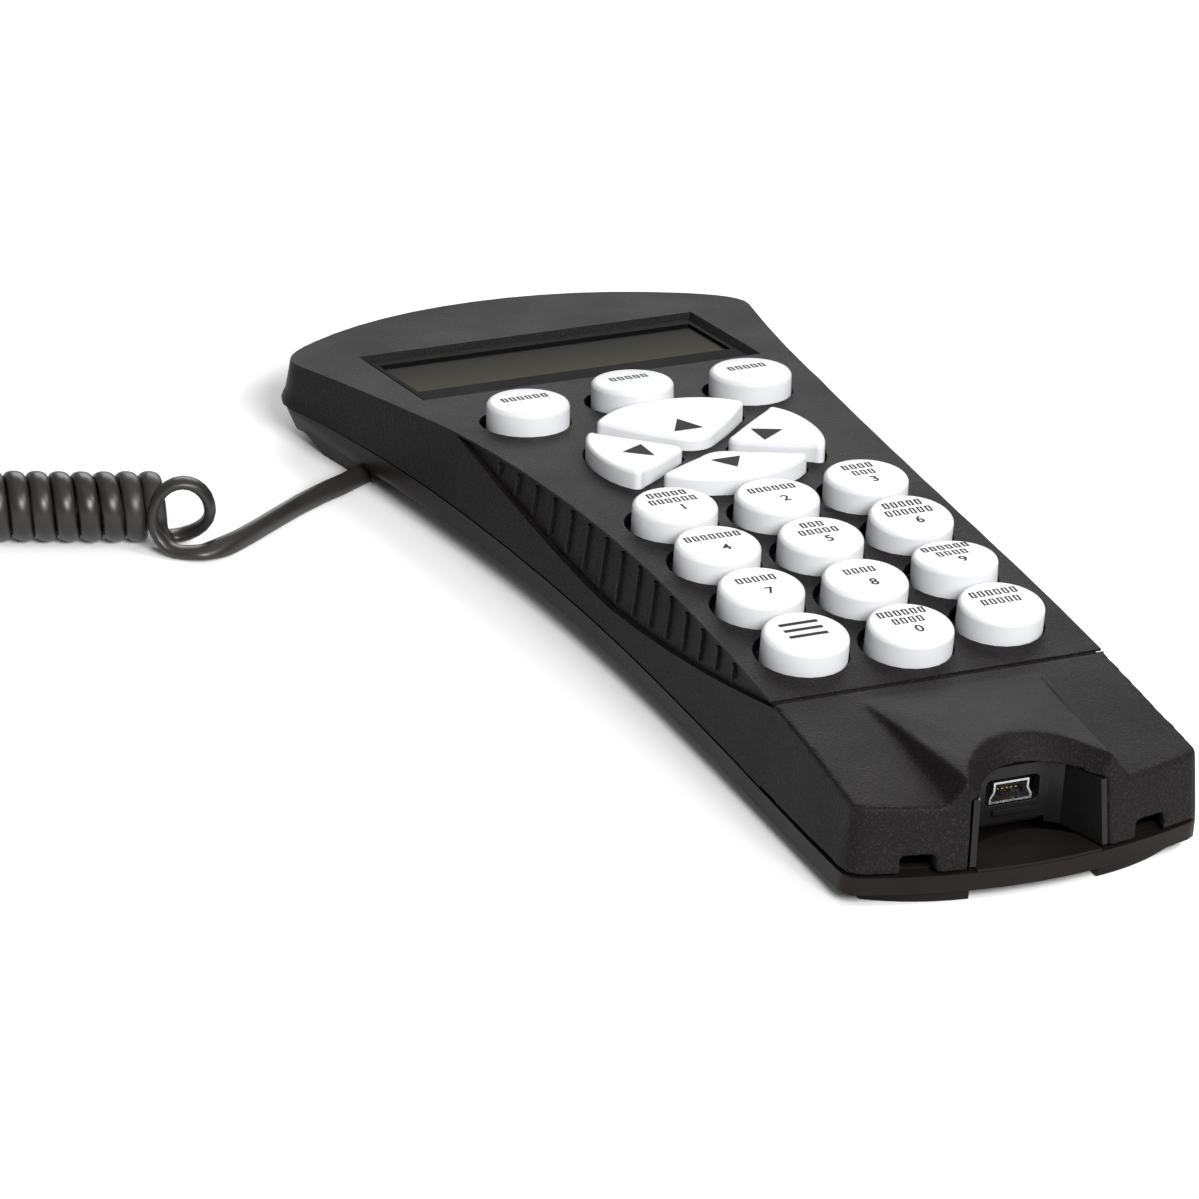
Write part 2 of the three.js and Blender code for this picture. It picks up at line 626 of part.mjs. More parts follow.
// The pocket's thin lining: two walls and the back panel with the USB window and a ledge.
function portLiner() {
  const top = PORT.roof - GAP;
  const bottom = -14.7;
  const outside = toSolid(extrudeUp(pocketPlan(PORT.liner), bottom, top));
  const inside = toSolid(extrudeUp(pocketPlan(0), -BIG, BIG));
  const underPanel = toSolid(box(-6, 6, PORT.back - 1, PORT.back + 3, -20, PORT.panelBottom));
  const { x0, x1, z0, z1, reach } = PORT_LEDGE;
  const ledge = toSolid(box(x0, x1, PORT.back - reach, PORT.back + 0.5, z0, z1));
  const liner = outside.subtract(inside).subtract(toSolid(portWindow(0))).subtract(underPanel).add(ledge);
  return liner.intersect(toSolid(frontWalls().translate(0, GAP, 0)));
}

place(handset, 'port_liner', toGeometry(portLiner()), finish.blackPlastic);

// ---------------------------------------------------------------- rear casing

const CHANNEL = { x: -31, y: 116.9, z: -25.1, turn: Math.atan2(-0.5, -0.866) };
const BOOT_BORE = { radius: 2.5, from: -12, to: 6.4 };
const CORD_BORE = { radius: 1.85, from: 6, to: 20 };

function seamLine(offset) {
  return SEAM_STATIONS.map((y) => [y, seamZ(y) + offset]);
}

function rearOuter() {
  const bandFoot = SEAM_STATIONS.map((y) => [y, seamZ(y) - bandHeight(y)]);
  const bandSide = [...bandFoot, ...seamLine(-SEAM_GAP).reverse()];
  const band = toSolid(loft([
    { outline: caseOutline(-1, -5.2, 1.3), z: -26.4 },
    { outline: caseOutline(1.2, 1.8, 1.5), z: -21.5 },
    { outline: caseOutline(1.2, 1.8), z: -13 },
  ])).intersect(toSolid(profileAlongX(bandSide)));
  const base = toSolid(loft([
    { outline: caseOutline(-2.6, -7, -2), z: -27 },
    { outline: caseOutline(-0.6, -0.4, -0.2), z: -18 },
  ])).intersect(toSolid(profileAlongX([...UNDERSIDE, ...seamLine(-1).reverse()])));
  const tub = toSolid(loft([
    { outline: shrunkOutline(0.915, 0.9), z: -29 },
    { outline: shrunkOutline(0.984, 0.968), z: -24.6 },
    { outline: shrunkOutline(0.99, 0.975), z: -19 },
  ]));
  const housingTop = seamLine(-1).filter(([y]) => y > HOUSING[0][0]).reverse();
  const housing = tub.intersect(toSolid(profileAlongX([...HOUSING, ...housingTop])));
  return band.add(base).add(housing);
}

function rearCavity() {
  const shallow = toSolid(loft([
    { outline: caseOutline(-WALL - 1, -WALL - 3.8, -WALL + 1), z: -25 },
    { outline: caseOutline(0.6 - WALL, 1 - WALL), z: -20 },
    { outline: caseOutline(0.6 - WALL, 1 - WALL), z: -10 },
  ])).intersect(toSolid(profileAlongX([
    [-75, -17.3], [-58, -17.3], [-50, -19], [60, -19.1], [85, -20.1], [105, -21.2], [165, -23.6],
    [165, 0], [-75, 0],
  ])));
  const deepPlan = [[-26, 122], [34, 114], [36, 128], [33, 137], [-33, 137], [-34, 128]];
  return shallow.add(toSolid(extrudeUp(polygon(deepPlan), -25.4, -15)));
}

function rearShell() {
  let shell = rearOuter().subtract(rearCavity());
  // inner lip that rises into the front half
  const lipSide = [...seamLine(-1.5), ...seamLine(LIP_RISE - SEAM_GAP).reverse()];
  const lipOut = loft([
    { outline: caseOutline(0.7 - WALL, 1.1 - WALL), z: -30 },
    { outline: caseOutline(0.7 - WALL, 1.1 - WALL), z: -10 },
  ]);
  const lipIn = loft([
    { outline: caseOutline(-0.4 - WALL, 0 - WALL), z: -31 },
    { outline: caseOutline(-0.4 - WALL, 0 - WALL), z: -9 },
  ]);
  const lip = toSolid(lipOut).subtract(toSolid(lipIn)).intersect(toSolid(profileAlongX(lipSide)));
  const portClear = toSolid(box(-26, 26, -80, -54, -15.3, 0));
  shell = shell.add(lip.subtract(portClear));
  // glossy floor of the port pocket, with a curved back edge
  const floor = new THREE.Shape();
  const [half, shoulder, back] = [11.2, 10.8, PORT.back - 0.6];
  floor.moveTo(-half, -75);
  floor.lineTo(half, -75);
  floor.lineTo(half, -67);
  floor.lineTo(shoulder, -63.5);
  floor.quadraticCurveTo(shoulder * 0.6, back, 0, back);
  floor.quadraticCurveTo(-shoulder * 0.6, back, -shoulder, -63.5);
  floor.lineTo(-half, -67);
  const endWall = loft([
    { outline: caseOutline(1.2, 1.6), z: -19 },
    { outline: caseOutline(1.2, 1.6), z: -12 },
  ]);
  shell = shell.add(toSolid(extrudeUp(floor, -18.2, -15.1, 6)).intersect(toSolid(endWall)));
  for (const [x, y] of SCREWS) {
    const sole = heightOn(y > HOUSING[2][0] ? HOUSING : UNDERSIDE, y);
    shell = shell.add(toSolid(post(4.3, x, y, sole + 1.2, seamZ(y) - SEAM_GAP, 16)));
    shell = shell.subtract(toSolid(post(SCREW.shank + GAP, x, y, -BIG, 0, 12)));
    shell = shell.subtract(toSolid(post(SCREW.head + GAP, x, y, -BIG, screwSeat(y), 16)));
  }
  // channel for the boot and the cord, open below, through the corner of the housing
  for (const { radius, from, to } of [BOOT_BORE, CORD_BORE]) {
    const bore = new THREE.CylinderGeometry(radius, radius, to - from, 16).rotateZ(Math.PI / 2);
    const slot = box(from, to, -radius, radius, -9, 0);
    for (const cut of [bore.translate((from + to) / 2, 0, 0), slot]) {
      shell = shell.subtract(toSolid(cut.rotateZ(CHANNEL.turn).translate(CHANNEL.x, CHANNEL.y, CHANNEL.z)));
    }
  }
  return shell;
}

place(handset, 'rear_shell', toGeometry(rearShell()), finish.rearCasing);

// ---------------------------------------------------------------- the nineteen keys

for (const { name, x, y } of keyPlaces()) {
  const key = place(handset, name, roundKey(), finish.key);
  key.position.set(x, y, faceZ(y));
  key.rotation.x = Math.atan(faceSlope(y)) + (ASKEW[name] ?? 0);
}

for (const key of PAD_KEYS) {
  const cap = toSolid(padPiece(key, 0, FLANGE.bottom + 0.4, PAD_HEIGHT));
  const flange = toSolid(padPiece(key, 0.9, FLANGE.bottom, FLANGE.top));
  const mesh = place(handset, key.name, toGeometry(cap.add(flange)), finish.key);
  mesh.position.set(0, PAD_Y, faceZ(PAD_Y));
  mesh.rotation.x = Math.atan(faceSlope(PAD_Y));
}

// ---------------------------------------------------------------- display

function displayPiece(name, width, height, top, thick, look, hollow = null) {
  let solid = toSolid(box(-width / 2, width / 2, -height / 2, height / 2, top - thick, top));
  if (hollow) {
    const [w, h] = hollow;
    solid = solid.subtract(toSolid(box(-w / 2, w / 2, -h / 2, h / 2, -BIG, BIG)));
  }
  place(handset, name, onFace(toGeometry(solid), 0, DISPLAY_Y), look);
}

displayPiece('display_window', 63.2, 26.2, -WINDOW.depth - 0.1, WINDOW.thick, finish.window);
displayPiece('display_bezel', 66.5, 25, -3.3, 1.2, finish.metal, [62, 18]);
displayPiece('display_glass', 66, 24.5, -4.8, 2, finish.glass);
displayPiece('display_backlight', 64, 22, -7.1, 2.2, finish.light);

// ---------------------------------------------------------------- electronics

const boardGroup = new THREE.Group();
boardGroup.rotation.x = Math.atan(BOARD.slope);
handset.add(boardGroup);

function mainBoard() {
  const { halfWidth, y0, y1, top, thick } = BOARD;
  let board = toSolid(box(-halfWidth, halfWidth, y0, y1, top - thick, top));
  for (const [x, y] of BOARD_SCREWS) {
    board = board.subtract(toSolid(post(1.4, x, y, -BIG, BIG, 12)));
  }
  return board;
}

place(boardGroup, 'main_board', toGeometry(mainBoard()), finish.board);

function keypadMat() {
  const bottom = BOARD.top + GAP;
  let mat = toSolid(box(-25.5, 25.5, BOARD.y0 + 4, BOARD.y1 - 1, bottom, bottom + 0.9));
  for (const { x, y } of keyPlaces()) {
    mat = mat.add(toSolid(post(3, x, y, bottom, bottom + 1.5, 6, 2.2)));
  }
  for (const { turn } of PAD_KEYS) {
    const reach = new THREE.Vector2(0, 13).rotateAround(new THREE.Vector2(), turn);
    mat = mat.add(toSolid(post(3, reach.x, PAD_Y + reach.y, bottom, bottom + 1.5, 6, 2.2)));
  }
  for (const [x, y] of BOARD_SCREWS) {
    mat = mat.subtract(toSolid(post(2.9, x, y, -BIG, BIG, 12)));
  }
  return mat;
}

place(boardGroup, 'keypad_mat', toGeometry(keypadMat()), finish.silicone);

BOARD_SCREWS.forEach(([x, y], i) => {
  const screw = place(boardGroup, `board_screw_${i + 1}`, screwGeometry(5.5, 0.8), finish.metal);
  screw.position.set(x, y, BOARD.top - BOARD.thick - GAP - SCREW.headHeight * 0.8);
});

const CHIPS = [
  { name: 'controller_chip', x: 0, y: 42, width: 14, length: 14, height: 1.4 },
  { name: 'memory_chip', x: 12, y: 18, width: 6, length: 8, height: 1.2 },
  { name: 'line_driver_chip', x: -13, y: 66, width: 6, length: 10, height: 1.2 },
  { name: 'clock_crystal', x: -13, y: 34, width: 11, length: 4.5, height: 3 },
];

for (const { name, x, y, width, length, height } of CHIPS) {
  const under = BOARD.top - BOARD.thick - GAP;
  const look = name === 'clock_crystal' ? finish.metal : finish.blackPlastic;
  const body = box(-width / 2, width / 2, -length / 2, length / 2, -height, 0);
  place(boardGroup, name, body.translate(x, y, under), look);
}

for (const [i, x] of [-17, 17].entries()) {
  const under = BOARD.top - BOARD.thick - GAP;
  place(boardGroup, `ribbon_socket_${i + 1}`, box(x - 6, x + 6, 82, 87, under - 2.4, under), finish.light);
}

place(handset, 'cord_header', box(-21, -13, 98, 103, -18.6, -13.6), finish.light);

// USB mini-B socket: a thin metal shell with shoulders, a tongue and five contacts.
function usbSection(inset) {
  const x = USB.width / 2 - inset;
  const z = USB.height / 2 - inset;
  const shoulder = 3.2 - inset;
  return polygon([
    [-x, -z], [x, -z], [x, 0.9 - USB.height / 2], [shoulder, 0.2], [shoulder, z],
    [-shoulder, z], [-shoulder, 0.2], [-x, 0.9 - USB.height / 2],
  ]);
}

function usbShell() {
  const outside = toSolid(profileAlongY(usbSection(0), USB.y, USB.y + USB.length));
  const inside = toSolid(profileAlongY(usbSection(USB.shell), USB.y - 1, USB.y + USB.length - 0.8));
  return outside.subtract(inside);
}

const usbGroup = new THREE.Group();
usbGroup.position.set(USB.x, 0, USB.z);
handset.add(usbGroup);
place(usbGroup, 'usb_socket_shell', toGeometry(usbShell()), finish.metal);
place(usbGroup, 'usb_tongue', box(-2.2, 2.2, USB.y + 1.2, USB.y + 8, 0.3, 1), finish.blackPlastic);

function usbContacts() {
  const [under, over] = [-0.25, 0];
  let comb = toSolid(box(-2, 2, USB.y + 7, USB.y + 7.6, under, over));
  for (let i = -2; i <= 2; i += 1) {
    const x = i * USB.contactPitch;
    comb = comb.add(toSolid(box(x - 0.16, x + 0.16, USB.y + 1.4, USB.y + 7.3, under, over)));
  }
  return comb;
}

place(usbGroup, 'usb_contacts', toGeometry(usbContacts()), finish.gold);
const usbUnder = USB.z - USB.height / 2 - GAP;
place(handset, 'usb_board', box(-8, 8, USB.y + 3.2, -36, usbUnder - 1.6, usbUnder), finish.board);

// ---------------------------------------------------------------- feet and screws

// Each foot: a wedge under the USB end whose front edge follows the casing's end.
function footSolid(side) {
  const wedge = toSolid(profileAlongX([
    [-70, -21.01], [-50.6, -21.65], [-50.6, -21.2], [-58.1, -19.2], [-70, -19.2]]));
  const plan = new THREE.Shape();
  plan.moveTo(11.5 * side, -66.3);
  plan.quadraticCurveTo(21 * side, -65.2, 28.2 * side, -60.5);
  plan.lineTo(28.2 * side, -50);
  plan.lineTo(11.5 * side, -50);
  return wedge.intersect(toSolid(extrudeUp(plan, -BIG, BIG)));
}

place(handset, 'foot_left', toGeometry(footSolid(-1)), finish.rearCasing);
place(handset, 'foot_right', toGeometry(footSolid(1)), finish.rearCasing);

SCREWS.forEach(([x, y], i) => {
  const length = screwTip(y) - screwBase(y);
  const screw = place(handset, `case_screw_${i + 1}`, screwGeometry(length), finish.metal);
  screw.position.set(x, y, screwBase(y));
});

// ---------------------------------------------------------------- placing the handset

handset.rotation.x = LYING_TILT;
handset.updateMatrixWorld(true);
const extent = new THREE.Box3().setFromObject(handset, true);
handset.position.set(0, LYING_Y, -extent.min.z);
handset.updateMatrixWorld(true);

// ---------------------------------------------------------------- cord

const CORD_LIFT = CORD_DIAMETER / 2 + 0.05;
const COIL_LIFT = COIL_DIAMETER / 2 + 0.05;

// Routes on the table, from the handset to the plug.
const BOOT = [[-24, 77.7, 2.15], [-36.2, 70.7, 1.95]];
const LEAD = [
  [-36.5, 70.5, 1.95], [-44, 66.2, 1.6], [-52, 61.8, CORD_LIFT], [-60.5, 57.5, CORD_LIFT],
  [-70.3, 51.9, CORD_LIFT], [-77.5, 49.1, CORD_LIFT], [-83, 51.3, 2.2], [-86.8, 56.5, 4.2],
];
const COIL = [
  [-87.3, 60.5, COIL_LIFT], [-102, 65.5, COIL_LIFT], [-117, 71.5, COIL_LIFT], [-131, 80.5, COIL_LIFT],
  [-139, 95.5, COIL_LIFT], [-138, 112.5, COIL_LIFT], [-128, 126.5, COIL_LIFT], [-113, 133.5, COIL_LIFT],
];
const TAIL = [[-112.6, 133.7, 4.6], [-106, 135.5, 3.6], [-98, 136.9, 3.5]];
const PLUG = { x: -97.6, y: 137, z: 3.5, turn: 0.17, width: 9.6, height: 6.6, length: 12, collar: 5 };

// A round piece along a route.
function cordPiece(points, diameter, steps, sides = 8) {
  const route = points.map((point) => new THREE.Vector3(...point));
  const round = new THREE.Shape();
  round.absarc(0, 0, diameter / 2, 0, 2 * Math.PI, false);
  return new THREE.ExtrudeGeometry(round, {
    steps,
    extrudePath: new THREE.CatmullRomCurve3(route, false, 'centripetal'),
    curveSegments: sides / 2,
    bevelEnabled: false,
  });
}

// A tapered ribbed boot between two points.
function bootGeometry([from, to]) {
  const start = new THREE.Vector3(...from);
  const along = new THREE.Vector3(...to).sub(start);
  const length = along.length();
  const profile = [[0, 0], [2.1, 0]];
  for (let i = 0; i < 5; i += 1) {
    const z = 2.5 + i * 2.2;
    const ridge = 2.1 - i * 0.08;
    const valley = 1.7 - i * 0.05;
    profile.push([ridge, z], [valley, z + 0.3], [valley, z + 1.1], [ridge - 0.08, z + 1.4]);
  }
  profile.push([1.6, length], [0, length]);
  const lathe = new THREE.LatheGeometry(profile.map(([r, z]) => new THREE.Vector2(r, z)), 8);
  const turn = new THREE.Quaternion().setFromUnitVectors(new THREE.Vector3(0, 1, 0), along.normalize());
  return lathe.applyQuaternion(turn).translate(...from);
}

// A modular plug: a clear block with a latch under it and a row of blades at its nose.
function plugBody() {
  const { width, height, length } = PLUG;
  let body = toSolid(box(0, length, -width / 2, width / 2, -height / 2, height / 2));
  body = body.add(toSolid(box(1.5, length - 1, -1.6, 1.6, height / 2 - 0.4, height / 2 + 1.1)));
  return body.subtract(toSolid(box(length - 4.5, length + 1, -2.9, 2.9, -height / 2 - 1, -height / 2 + 1.2)));
}

place(table, 'strain_relief', bootGeometry(BOOT), finish.rubber);
place(table, 'cord_lead', cordPiece(LEAD, CORD_DIAMETER, 24), finish.cord);
place(table, 'cord_coil', cordPiece(COIL, COIL_DIAMETER, 22, 12), finish.cord);
place(table, 'cord_tail', cordPiece(TAIL, CORD_DIAMETER, 4), finish.cord);

const plug = new THREE.Group();
plug.position.set(PLUG.x, PLUG.y, PLUG.z);
plug.rotation.z = PLUG.turn;
table.add(plug);
place(plug, 'cord_plug', toGeometry(plugBody()), finish.light);
const plugUnder = -PLUG.height / 2;
const contactStrip = box(PLUG.length - 4, PLUG.length - 0.3, -2.5, 2.5, plugUnder + 0.1, plugUnder + 0.9);
place(plug, 'plug_contacts', contactStrip, finish.gold);

const model = new THREE.Group();
model.add(handset, table);
export default model;
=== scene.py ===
"""Telescope hand controller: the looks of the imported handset, its keys and its curly cord."""

import json
import math

import bmesh
import bpy
from mathutils import Matrix, Vector


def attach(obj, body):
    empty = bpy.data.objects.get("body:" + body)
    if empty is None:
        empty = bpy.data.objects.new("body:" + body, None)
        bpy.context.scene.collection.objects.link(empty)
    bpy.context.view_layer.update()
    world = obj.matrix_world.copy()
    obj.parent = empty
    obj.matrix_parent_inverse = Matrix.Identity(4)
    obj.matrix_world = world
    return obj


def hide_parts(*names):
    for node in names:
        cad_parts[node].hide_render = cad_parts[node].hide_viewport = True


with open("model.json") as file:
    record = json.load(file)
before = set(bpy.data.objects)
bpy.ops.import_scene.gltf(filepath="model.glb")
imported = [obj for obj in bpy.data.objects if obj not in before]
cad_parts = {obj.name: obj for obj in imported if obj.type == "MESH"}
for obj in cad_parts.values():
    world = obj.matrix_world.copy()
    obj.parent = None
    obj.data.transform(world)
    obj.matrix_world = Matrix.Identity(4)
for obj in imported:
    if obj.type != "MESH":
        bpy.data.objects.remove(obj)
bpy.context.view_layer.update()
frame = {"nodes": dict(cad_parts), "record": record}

MM = 0.001

# ------------------------------------------------------------------ the case frame
# X to the right, Y towards the display, Z out of the face, in millimetres.  The handset
# lies on its back, which turns and lifts that frame on the table.  Its face is a long arc
# up to the crease and a straight slope beyond it.

LYING_TILT = 0.03266
CASE_SHIFT = Vector((0, -44.2, 23.306))
FACE_RADIUS = 640
FACE_TOP_Y = 8
CREASE_Y = 85
DISPLAY_SLOPE = -0.155
DISPLAY_Y = 117.6
PAD_Y = 58.4
WINDOW_TOP = -0.9
WINDOW_THICK = 2

CASE = (
    Matrix.Scale(MM, 4)
    @ Matrix.Translation(CASE_SHIFT)
    @ Matrix.Rotation(LYING_TILT, 4, "X")
)


def face_z(y):
    """The face's height at y: a long bulge up to the crease, then a straight slope."""
    if y < CREASE_Y:
        return -((y - FACE_TOP_Y) ** 2) / (2 * FACE_RADIUS)
    return -((CREASE_Y - FACE_TOP_Y) ** 2) / (2 * FACE_RADIUS) + DISPLAY_SLOPE * (y - CREASE_Y)


def face_slope(y):
    """How steeply the face rises at y."""
    if y < CREASE_Y:
        return -(y - FACE_TOP_Y) / FACE_RADIUS
    return DISPLAY_SLOPE


def on_face(x, y, lean=0.0):
    """From a frame that sits on the face at (x, y), in millimetres, to the world."""
    turn = Matrix.Rotation(math.atan(face_slope(y)) + lean, 4, "X")
    return CASE @ Matrix.Translation((x, y, face_z(y))) @ turn


# ------------------------------------------------------------------ materials
# Colours are linear, and grain and blotch are noise scales per metre.

NOISE_LIMITS = (0.3, 0.7)
# Where on the grain the painted highlight on its tops starts and where it is full.
PAINTED_GLINT_LIMITS = (0.52, 0.7)
PLATING_SPREAD = 0.08
PANEL_BLOTCH = 90
PANEL_UNEVEN = 0.25
PANEL_LIMITS = (0.15, 1.05)
PANEL_ROUGH = 0.4
PANEL_GLOSS = 0.02


def new_material(name):
    """A material with its node tree and its shader."""
    material = bpy.data.materials.new(name)
    material.use_nodes = True
    nodes = material.node_tree.nodes
    return material, material.node_tree, nodes["Principled BSDF"]


def object_coords(tree):
    """The point's place on the object, which the noises are laid out by."""
    return tree.nodes.new("ShaderNodeTexCoord").outputs["Object"]


def noise(tree, coords, scale, detail=3.0):
    """An even noise with that many features to the metre."""
    node = tree.nodes.new("ShaderNodeTexNoise")
    node.inputs["Scale"].default_value = scale
    node.inputs["Detail"].default_value = detail
    tree.links.new(coords, node.inputs["Vector"])
    return node.outputs["Fac"]


def spread(tree, value, low, high, limits=NOISE_LIMITS):
    """The value stretched so that its limits become low and high."""
    node = tree.nodes.new("ShaderNodeMapRange")
    node.inputs["From Min"].default_value = limits[0]
    node.inputs["From Max"].default_value = limits[1]
    node.inputs["To Min"].default_value = low
    node.inputs["To Max"].default_value = high
    tree.links.new(value, node.inputs["Value"])
    return node.outputs["Result"]


def blend_colours(tree, value, first, second):
    """From the first colour, or a colour that a node makes, to the second as the value rises."""
    node = tree.nodes.new("ShaderNodeMix")
    node.data_type = "RGBA"
    if isinstance(first, bpy.types.NodeSocket):
        tree.links.new(first, node.inputs["A"])
    else:
        node.inputs["A"].default_value = (*first, 1)
    node.inputs["B"].default_value = (*second, 1)
    tree.links.new(value, node.inputs["Factor"])
    return node.outputs["Result"]


def moulded(
    name, dark, light, rough, grain, depth, specular=0.5, blotch=60.0, relief=0.1, painted_glint=None
):
    """Moulded plastic or rubber: two close colours, an uneven gloss, and a fine grain.

    The grain is relief millimetres deep at a depth of 1, and its tops may be lightened by a
    painted glint: a painted highlight on the grain.
    """
    material, tree, shader = new_material(name)
    coords = object_coords(tree)
    cloud = noise(tree, coords, blotch)
    fine = noise(tree, coords, grain, detail=2.0)
    colour = blend_colours(tree, spread(tree, cloud, 0, 1), dark, light)
    # Painted highlight: the grain's tops are lightened to stand in for glints on the grain.
    if painted_glint:
        colour = blend_colours(tree, spread(tree, fine, 0, 1, PAINTED_GLINT_LIMITS), colour, painted_glint)
    tree.links.new(colour, shader.inputs["Base Color"])
    tree.links.new(spread(tree, cloud, *rough), shader.inputs["Roughness"])
    shader.inputs["Specular IOR Level"].default_value = specular
    bump = tree.nodes.new("ShaderNodeBump")
    bump.inputs["Strength"].default_value = depth
    bump.inputs["Distance"].default_value = relief * MM
    tree.links.new(fine, bump.inputs["Height"])
    tree.links.new(bump.outputs["Normal"], shader.inputs["Normal"])
    return material


def liquid_crystal(name, near, shaded_far):
    """The display's panel: a little uneven, with painted shade that darkens it towards its far
    edge.
    """
    material, tree, shader = new_material(name)
    texture = tree.nodes.new("ShaderNodeTexCoord")
    cloud = noise(tree, texture.outputs["Object"], PANEL_BLOTCH)
    # Painted shade: along its length the panel runs from the near colour to the darker far one.
    split = tree.nodes.new("ShaderNodeSeparateXYZ")
    tree.links.new(texture.outputs["Generated"], split.inputs["Vector"])
    mixed = tree.nodes.new("ShaderNodeMath")
    mixed.operation = "MULTIPLY_ADD"
    tree.links.new(cloud, mixed.inputs[0])
    mixed.inputs[1].default_value = PANEL_UNEVEN
    tree.links.new(split.outputs["Y"], mixed.inputs[2])
    share = spread(tree, mixed.outputs["Value"], 0, 1, PANEL_LIMITS)
    tree.links.new(blend_colours(tree, share, near, shaded_far), shader.inputs["Base Color"])
    shader.inputs["Roughness"].default_value = PANEL_ROUGH
    shader.inputs["Specular IOR Level"].default_value = PANEL_GLOSS
    return material


def plated(name, colour, rough, grain=2500):
    """Plated metal whose gloss varies finely."""
    material, tree, shader = new_material(name)
    fine = noise(tree, object_coords(tree), grain)
    shader.inputs["Base Color"].default_value = (*colour, 1)
    shader.inputs["Metallic"].default_value = 1
    roughness = spread(tree, fine, rough - PLATING_SPREAD, rough + PLATING_SPREAD)
    tree.links.new(roughness, shader.inputs["Roughness"])
    return material


MOULDED = {
    # The casing's last colour is a painted highlight that lightens the grain's tops.
    "casing": dict(
        dark=(0.0062, 0.0051, 0.0054), light=(0.0084, 0.0073, 0.0076), rough=(0.44, 0.54),
        grain=3000, depth=0.6, specular=0.065, relief=0.25, painted_glint=(0.019, 0.017, 0.0175),
    ),
    "rear_casing": dict(
        dark=(0.0068, 0.0052, 0.0048), light=(0.0098, 0.0076, 0.0068), rough=(0.34, 0.44),
        grain=2600, depth=0.15, specular=0.1,
    ),
    "key": dict(
        dark=(0.55, 0.555, 0.57), light=(0.59, 0.595, 0.61), rough=(0.32, 0.42),
        grain=2500, depth=0.08,
    ),
    "window": dict(
        dark=(0.003, 0.003, 0.003), light=(0.005, 0.005, 0.005), rough=(0.5, 0.6),
        grain=300, depth=0.02, specular=0.02,
    ),
    "light": dict(
        dark=(0.7, 0.68, 0.6), light=(0.75, 0.73, 0.66), rough=(0.4, 0.5),
        grain=2000, depth=0.1,
    ),
    "board": dict(
        dark=(0.012, 0.08, 0.03), light=(0.016, 0.1, 0.04), rough=(0.35, 0.45),
        grain=1500, depth=0.1,
    ),
    "silicone": dict(
        dark=(0.6, 0.62, 0.64), light=(0.66, 0.68, 0.7), rough=(0.5, 0.6),
        grain=2000, depth=0.1,
    ),
    "black_plastic": dict(
        dark=(0.005, 0.005, 0.005), light=(0.008, 0.008, 0.008), rough=(0.2, 0.3),
        grain=900, depth=0.1, specular=0.2,
    ),
    "rubber": dict(
        dark=(0.012, 0.012, 0.012), light=(0.018, 0.017, 0.017), rough=(0.55, 0.7),
        grain=3500, depth=0.3,
    ),
    "cord": dict(
        dark=(0.012, 0.0105, 0.01), light=(0.018, 0.016, 0.015), rough=(0.3, 0.42),
        grain=2500, depth=0.1, specular=0.4,
    ),
    "plug": dict(
        dark=(0.6, 0.62, 0.62), light=(0.66, 0.68, 0.68), rough=(0.12, 0.2),
        grain=800, depth=0.05,
    ),
    "ink": dict(
        dark=(0.03, 0.026, 0.027), light=(0.04, 0.035, 0.036), rough=(0.6, 0.7),
        grain=2500, depth=0.05, specular=0.03,
    ),
}

LOOKS = {name: moulded(name, **finish) for name, finish in MOULDED.items()}
LOOKS["steel"] = plated("steel", (0.62, 0.62, 0.64), 0.28)
LOOKS["gold"] = plated("gold", (0.75, 0.5, 0.16), 0.25)
# The second colour is the painted shade at the panel's far edge.
LOOKS["display"] = liquid_crystal("display", (0.032, 0.029, 0.014), (0.006, 0.006, 0.0055))

for row in frame["record"]["subparts"]:
    mesh = frame["nodes"][row["node"]].data
    mesh.materials.clear()
    mesh.materials.append(LOOKS[row["material_slot"]])

# ------------------------------------------------------------------ pieces
# Angles are in degrees.

MERGE_WITHIN = 0.01 * MM
FLAT_WITHIN = 0.3
ROUNDED_FROM = 32
ROUNDING_SEGMENTS = 2
LARGE_FACE_WEIGHT = 80
SHARP_FROM = 40


def add_piece(name, mesh, look, body, *nodes):
    """A visible piece with that look, riding on the body and standing for the CAD nodes.
    """
    mesh.materials.clear()
    mesh.materials.append(LOOKS[look])
    piece = bpy.data.objects.new(name, mesh)
    bpy.context.scene.collection.objects.link(piece)
    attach(piece, body)
    if nodes:
        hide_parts(*nodes)
    return piece


def shade_smooth(mesh):
    """Smooth shading on every face."""
    for face in mesh.polygons:
        face.use_smooth = True


def mesh_from(sheet, name):
    """A mesh with the sheet's shape, which is then freed."""
    mesh = bpy.data.meshes.new(name)
    sheet.to_mesh(mesh)
    sheet.free()
    return mesh


def applied_mesh(thing):
    """A new mesh of an object as its modifiers, or its text, make it."""
    bpy.context.view_layer.update()
    graph = bpy.context.evaluated_depsgraph_get()
    return bpy.data.meshes.new_from_object(thing.evaluated_get(graph))


def skin_sheet(node):
    """A sheet with the CAD node's shape, its flat stretches merged into single faces."""
    sheet = bmesh.new()
    sheet.from_mesh(frame["nodes"][node].data)
    bmesh.ops.remove_doubles(sheet, verts=sheet.verts, dist=MERGE_WITHIN)
    bmesh.ops.dissolve_limit(
        sheet, angle_limit=math.radians(FLAT_WITHIN), verts=sheet.verts, edges=sheet.edges
    )
    return sheet


